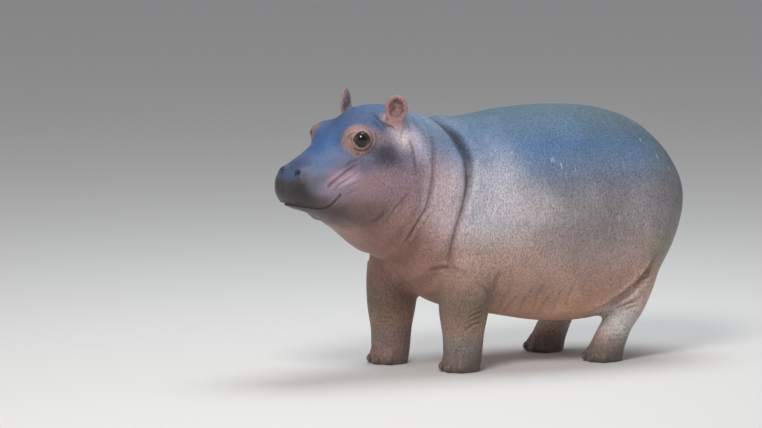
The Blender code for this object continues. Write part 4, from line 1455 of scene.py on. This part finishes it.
def box_places(roots, directions):
    """Where each root lies when the skin is unwrapped on the six sides of a box round it, three by two."""
    low, high = clay.min(axis=0), clay.max(axis=0)
    share = (roots - low) / (high - low)
    axis = np.abs(directions).argmax(axis=1)
    every = np.arange(len(roots))
    faces_up = directions[every, axis] > 0.0
    one, other = share[every, (axis + 1) % 3], share[every, (axis + 2) % 3]
    room = 1.0 - 2.0 * BOX_MARGIN
    across = (axis + BOX_MARGIN + room * one) / 3.0
    along = (faces_up + BOX_MARGIN + room * other) / 2.0
    return np.stack([across, along], axis=1)


def lay_out(obj, length):
    """The OFBake map: every hair is a small patch at its root's place."""
    mesh = obj.data
    roots = triples(mesh.attributes["root_place"].data, "vector")
    directions = triples(mesh.attributes["root_normal"].data, "vector")
    reach = (points_of(obj) - roots) / length
    spread = np.stack([reach[:, 0] + 0.5 * reach[:, 2], reach[:, 1] - 0.5 * reach[:, 2]], axis=1)
    patch = box_places(roots, directions) + 0.35 * COAT_PATCH * spread
    corners = np.empty(len(mesh.loops), dtype=np.int64)
    mesh.loops.foreach_get("vertex_index", corners)
    layer = mesh.uv_layers.new(name="OFBake")
    layer.data.foreach_set("uv", np.clip(patch[corners], 0.0, 1.0).astype(np.float32).ravel())


# %% Hair material and the places where hair grows
HAIR_DARK = (0.110, 0.075, 0.055, 1.0)
HAIR_PALE = (0.420, 0.330, 0.270, 1.0)
HAIR_ROUGHNESS = 0.45


def bristle_material():
    made, tree, surface = start_material("calf_bristle")
    place = own_place(tree)
    share = span_node(tree, noise_node(tree, place, 160.0, 2.0, 0.5), 0.35, 0.65)
    feed(tree, surface.inputs["Base Color"], mix_node(tree, share, HAIR_DARK, HAIR_PALE))
    feed(tree, surface.inputs["Roughness"], HAIR_ROUGHNESS)
    return made


def on_ears(points):
    return (from_ears(points) < 0.040) & (points[:, 2] > EAR[2] - 0.022)


def on_muzzle(points):
    ahead, _, up = head_axes(points)
    return (ahead > 0.290) & (up < 0.470) & (up > 0.375)


def on_tail_tip(points):
    low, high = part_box("tail")
    inside = (points > np.array(low) - 0.006) & (points < np.array(high) + 0.006)
    return inside.all(axis=1) & (points[:, 2] < low.z + 0.024)


hair_paint = bristle_material()
points = points_of(skin)
print("hairy skin points:", [int(grows(points).sum()) for grows in (on_ears, on_muzzle, on_tail_tip)])


# %% Sow the bristles
def piece_of_skin(title, chosen):
    """A copy of only the chosen faces of the skin."""
    work = bmesh.new()
    work.from_mesh(skin.data)
    keep = chosen(middles_of_faces(work))
    bmesh.ops.delete(work, geom=[f for f, kept in zip(work.faces, keep) if not kept], context="FACES")
    return finish_mesh(title, work)


def sow(title, chosen, **wanted):
    """Cover the chosen skin with hairs and keep only the hairs, as a plain mesh."""
    field = piece_of_skin(title, chosen)
    modifier = field.modifiers.new("bristles", "NODES")
    modifier.node_group = bristles
    for item in bristles.interface.items_tree:
        if item.in_out == "INPUT" and item.name in wanted:
            modifier[item.identifier] = wanted[item.name]
    graph = bpy.context.evaluated_depsgraph_get()
    mesh = bpy.data.meshes.new_from_object(field.evaluated_get(graph))
    field.modifiers.clear()
    field.data = mesh
    lay_out(field, wanted["Length"])
    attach(field, "root")
    print(title, len(mesh.polygons), "faces in", len(mesh.polygons) // FACES_OF_HAIR, "hairs")


# Density is in hairs to a square metre, length and thickness are in metres
EAR_HAIR = {"Density": 26000.0, "Length": 0.0055, "Thickness": 0.00016, "Lean": 0.5, "Hang": -0.3, "Seed": 4}
MUZZLE_HAIR = {"Density": 3200.0, "Length": 0.0048, "Thickness": 0.00022, "Lean": 0.4, "Hang": 0.5, "Seed": 7}
TAIL_HAIR = {"Density": 42000.0, "Length": 0.0130, "Thickness": 0.00026, "Lean": 0.3, "Hang": 2.0, "Seed": 9}
sow("ear_hairs", on_ears, **EAR_HAIR, Material=hair_paint)
sow("muzzle_bristles", on_muzzle, **MUZZLE_HAIR, Material=hair_paint)
sow("tail_tuft", on_tail_tip, **TAIL_HAIR, Material=hair_paint)

# %% [markdown]
# ## The studio
# A pale matt floor, a large soft key lamp above and before the calf, a cooler one from above for the
# back, and a weak fill. The world is a pale even grey, so shadows stay soft and the skin shows its sheen.

# %% Floor and lights
FLOOR_SIZE = 30.0
FLOOR_COLOUR = (0.70, 0.69, 0.67, 1.0)
FLOOR_ROUGHNESS = 0.85
AIR_COLOUR = (0.93, 0.95, 1.0, 1.0)
AIR_STRENGTH = 0.32


def aim_at(obj, way):
    """Lamps and cameras look down their own -Z."""
    obj.rotation_mode = "QUATERNION"
    obj.rotation_quaternion = way.to_track_quat("-Z", "Y")


def area_light(name, place, target, size, power, colour):
    lamp = bpy.data.lights.new(name, "AREA")
    lamp.shape = "DISK"
    lamp.size = size
    lamp.energy = power
    lamp.color = colour
    made = put_in_scene(name, lamp)
    made.location = place
    aim_at(made, Vector(target) - Vector(place))


def studio_floor():
    work = bmesh.new()
    bmesh.ops.create_grid(work, x_segments=1, y_segments=1, size=FLOOR_SIZE)
    floor = finish_mesh("floor", work)
    paint, tree, surface = start_material("floor_paint")
    feed(tree, surface.inputs["Base Color"], FLOOR_COLOUR)
    feed(tree, surface.inputs["Roughness"], FLOOR_ROUGHNESS)
    floor.data.materials.append(paint)


studio_floor()
area_light("key", (-2.2, -2.2, 3.4), (-0.05, 0.0, 0.32), 1.4, 105, (1.0, 0.98, 0.95))
area_light("sky", (0.6, 0.5, 3.2), (0.0, 0.0, 0.35), 2.0, 62, (0.92, 0.96, 1.0))
area_light("fill", (-3.6, 0.8, 1.3), (0.0, 0.0, 0.30), 2.5, 12, (1.0, 1.0, 1.0))
world = bpy.data.worlds.new("studio_air")
world.use_nodes = True
background = world.node_tree.nodes["Background"]
background.inputs["Color"].default_value = AIR_COLOUR
background.inputs["Strength"].default_value = AIR_STRENGTH
bpy.context.scene.world = world

# %% [markdown]
# ## The camera
# The calf is seen from its left front, almost level, from far off through a long lens. That keeps its
# proportions true, as an animal is seen from a distance, and the near legs look no larger than the far
# ones. The lens follows from how many metres the view takes in across, at the calf.

# %% Camera
AZIMUTH = -30.0
ELEVATION = 7.0
DISTANCE = 40.0
VIEW_WIDTH = 1.784543
SENSOR = 36.0
AIM = Vector((-0.1712, 0.1479, 0.3461))
turn, tilt = math.radians(AZIMUTH), math.radians(ELEVATION)
back_way = Vector((math.sin(turn) * math.cos(tilt), -math.cos(turn) * math.cos(tilt), math.sin(tilt)))
camera_data = bpy.data.cameras.new("camera")
camera_data.sensor_width = SENSOR
camera_data.lens = SENSOR * DISTANCE / VIEW_WIDTH
camera = put_in_scene("camera", camera_data)
camera.location = AIM + back_way * DISTANCE
aim_at(camera, -back_way)
bpy.context.scene.camera = camera
bpy.context.scene.view_settings.view_transform = "Standard"
print("lens", round(camera_data.lens, 1), "mm at", DISTANCE, "m")
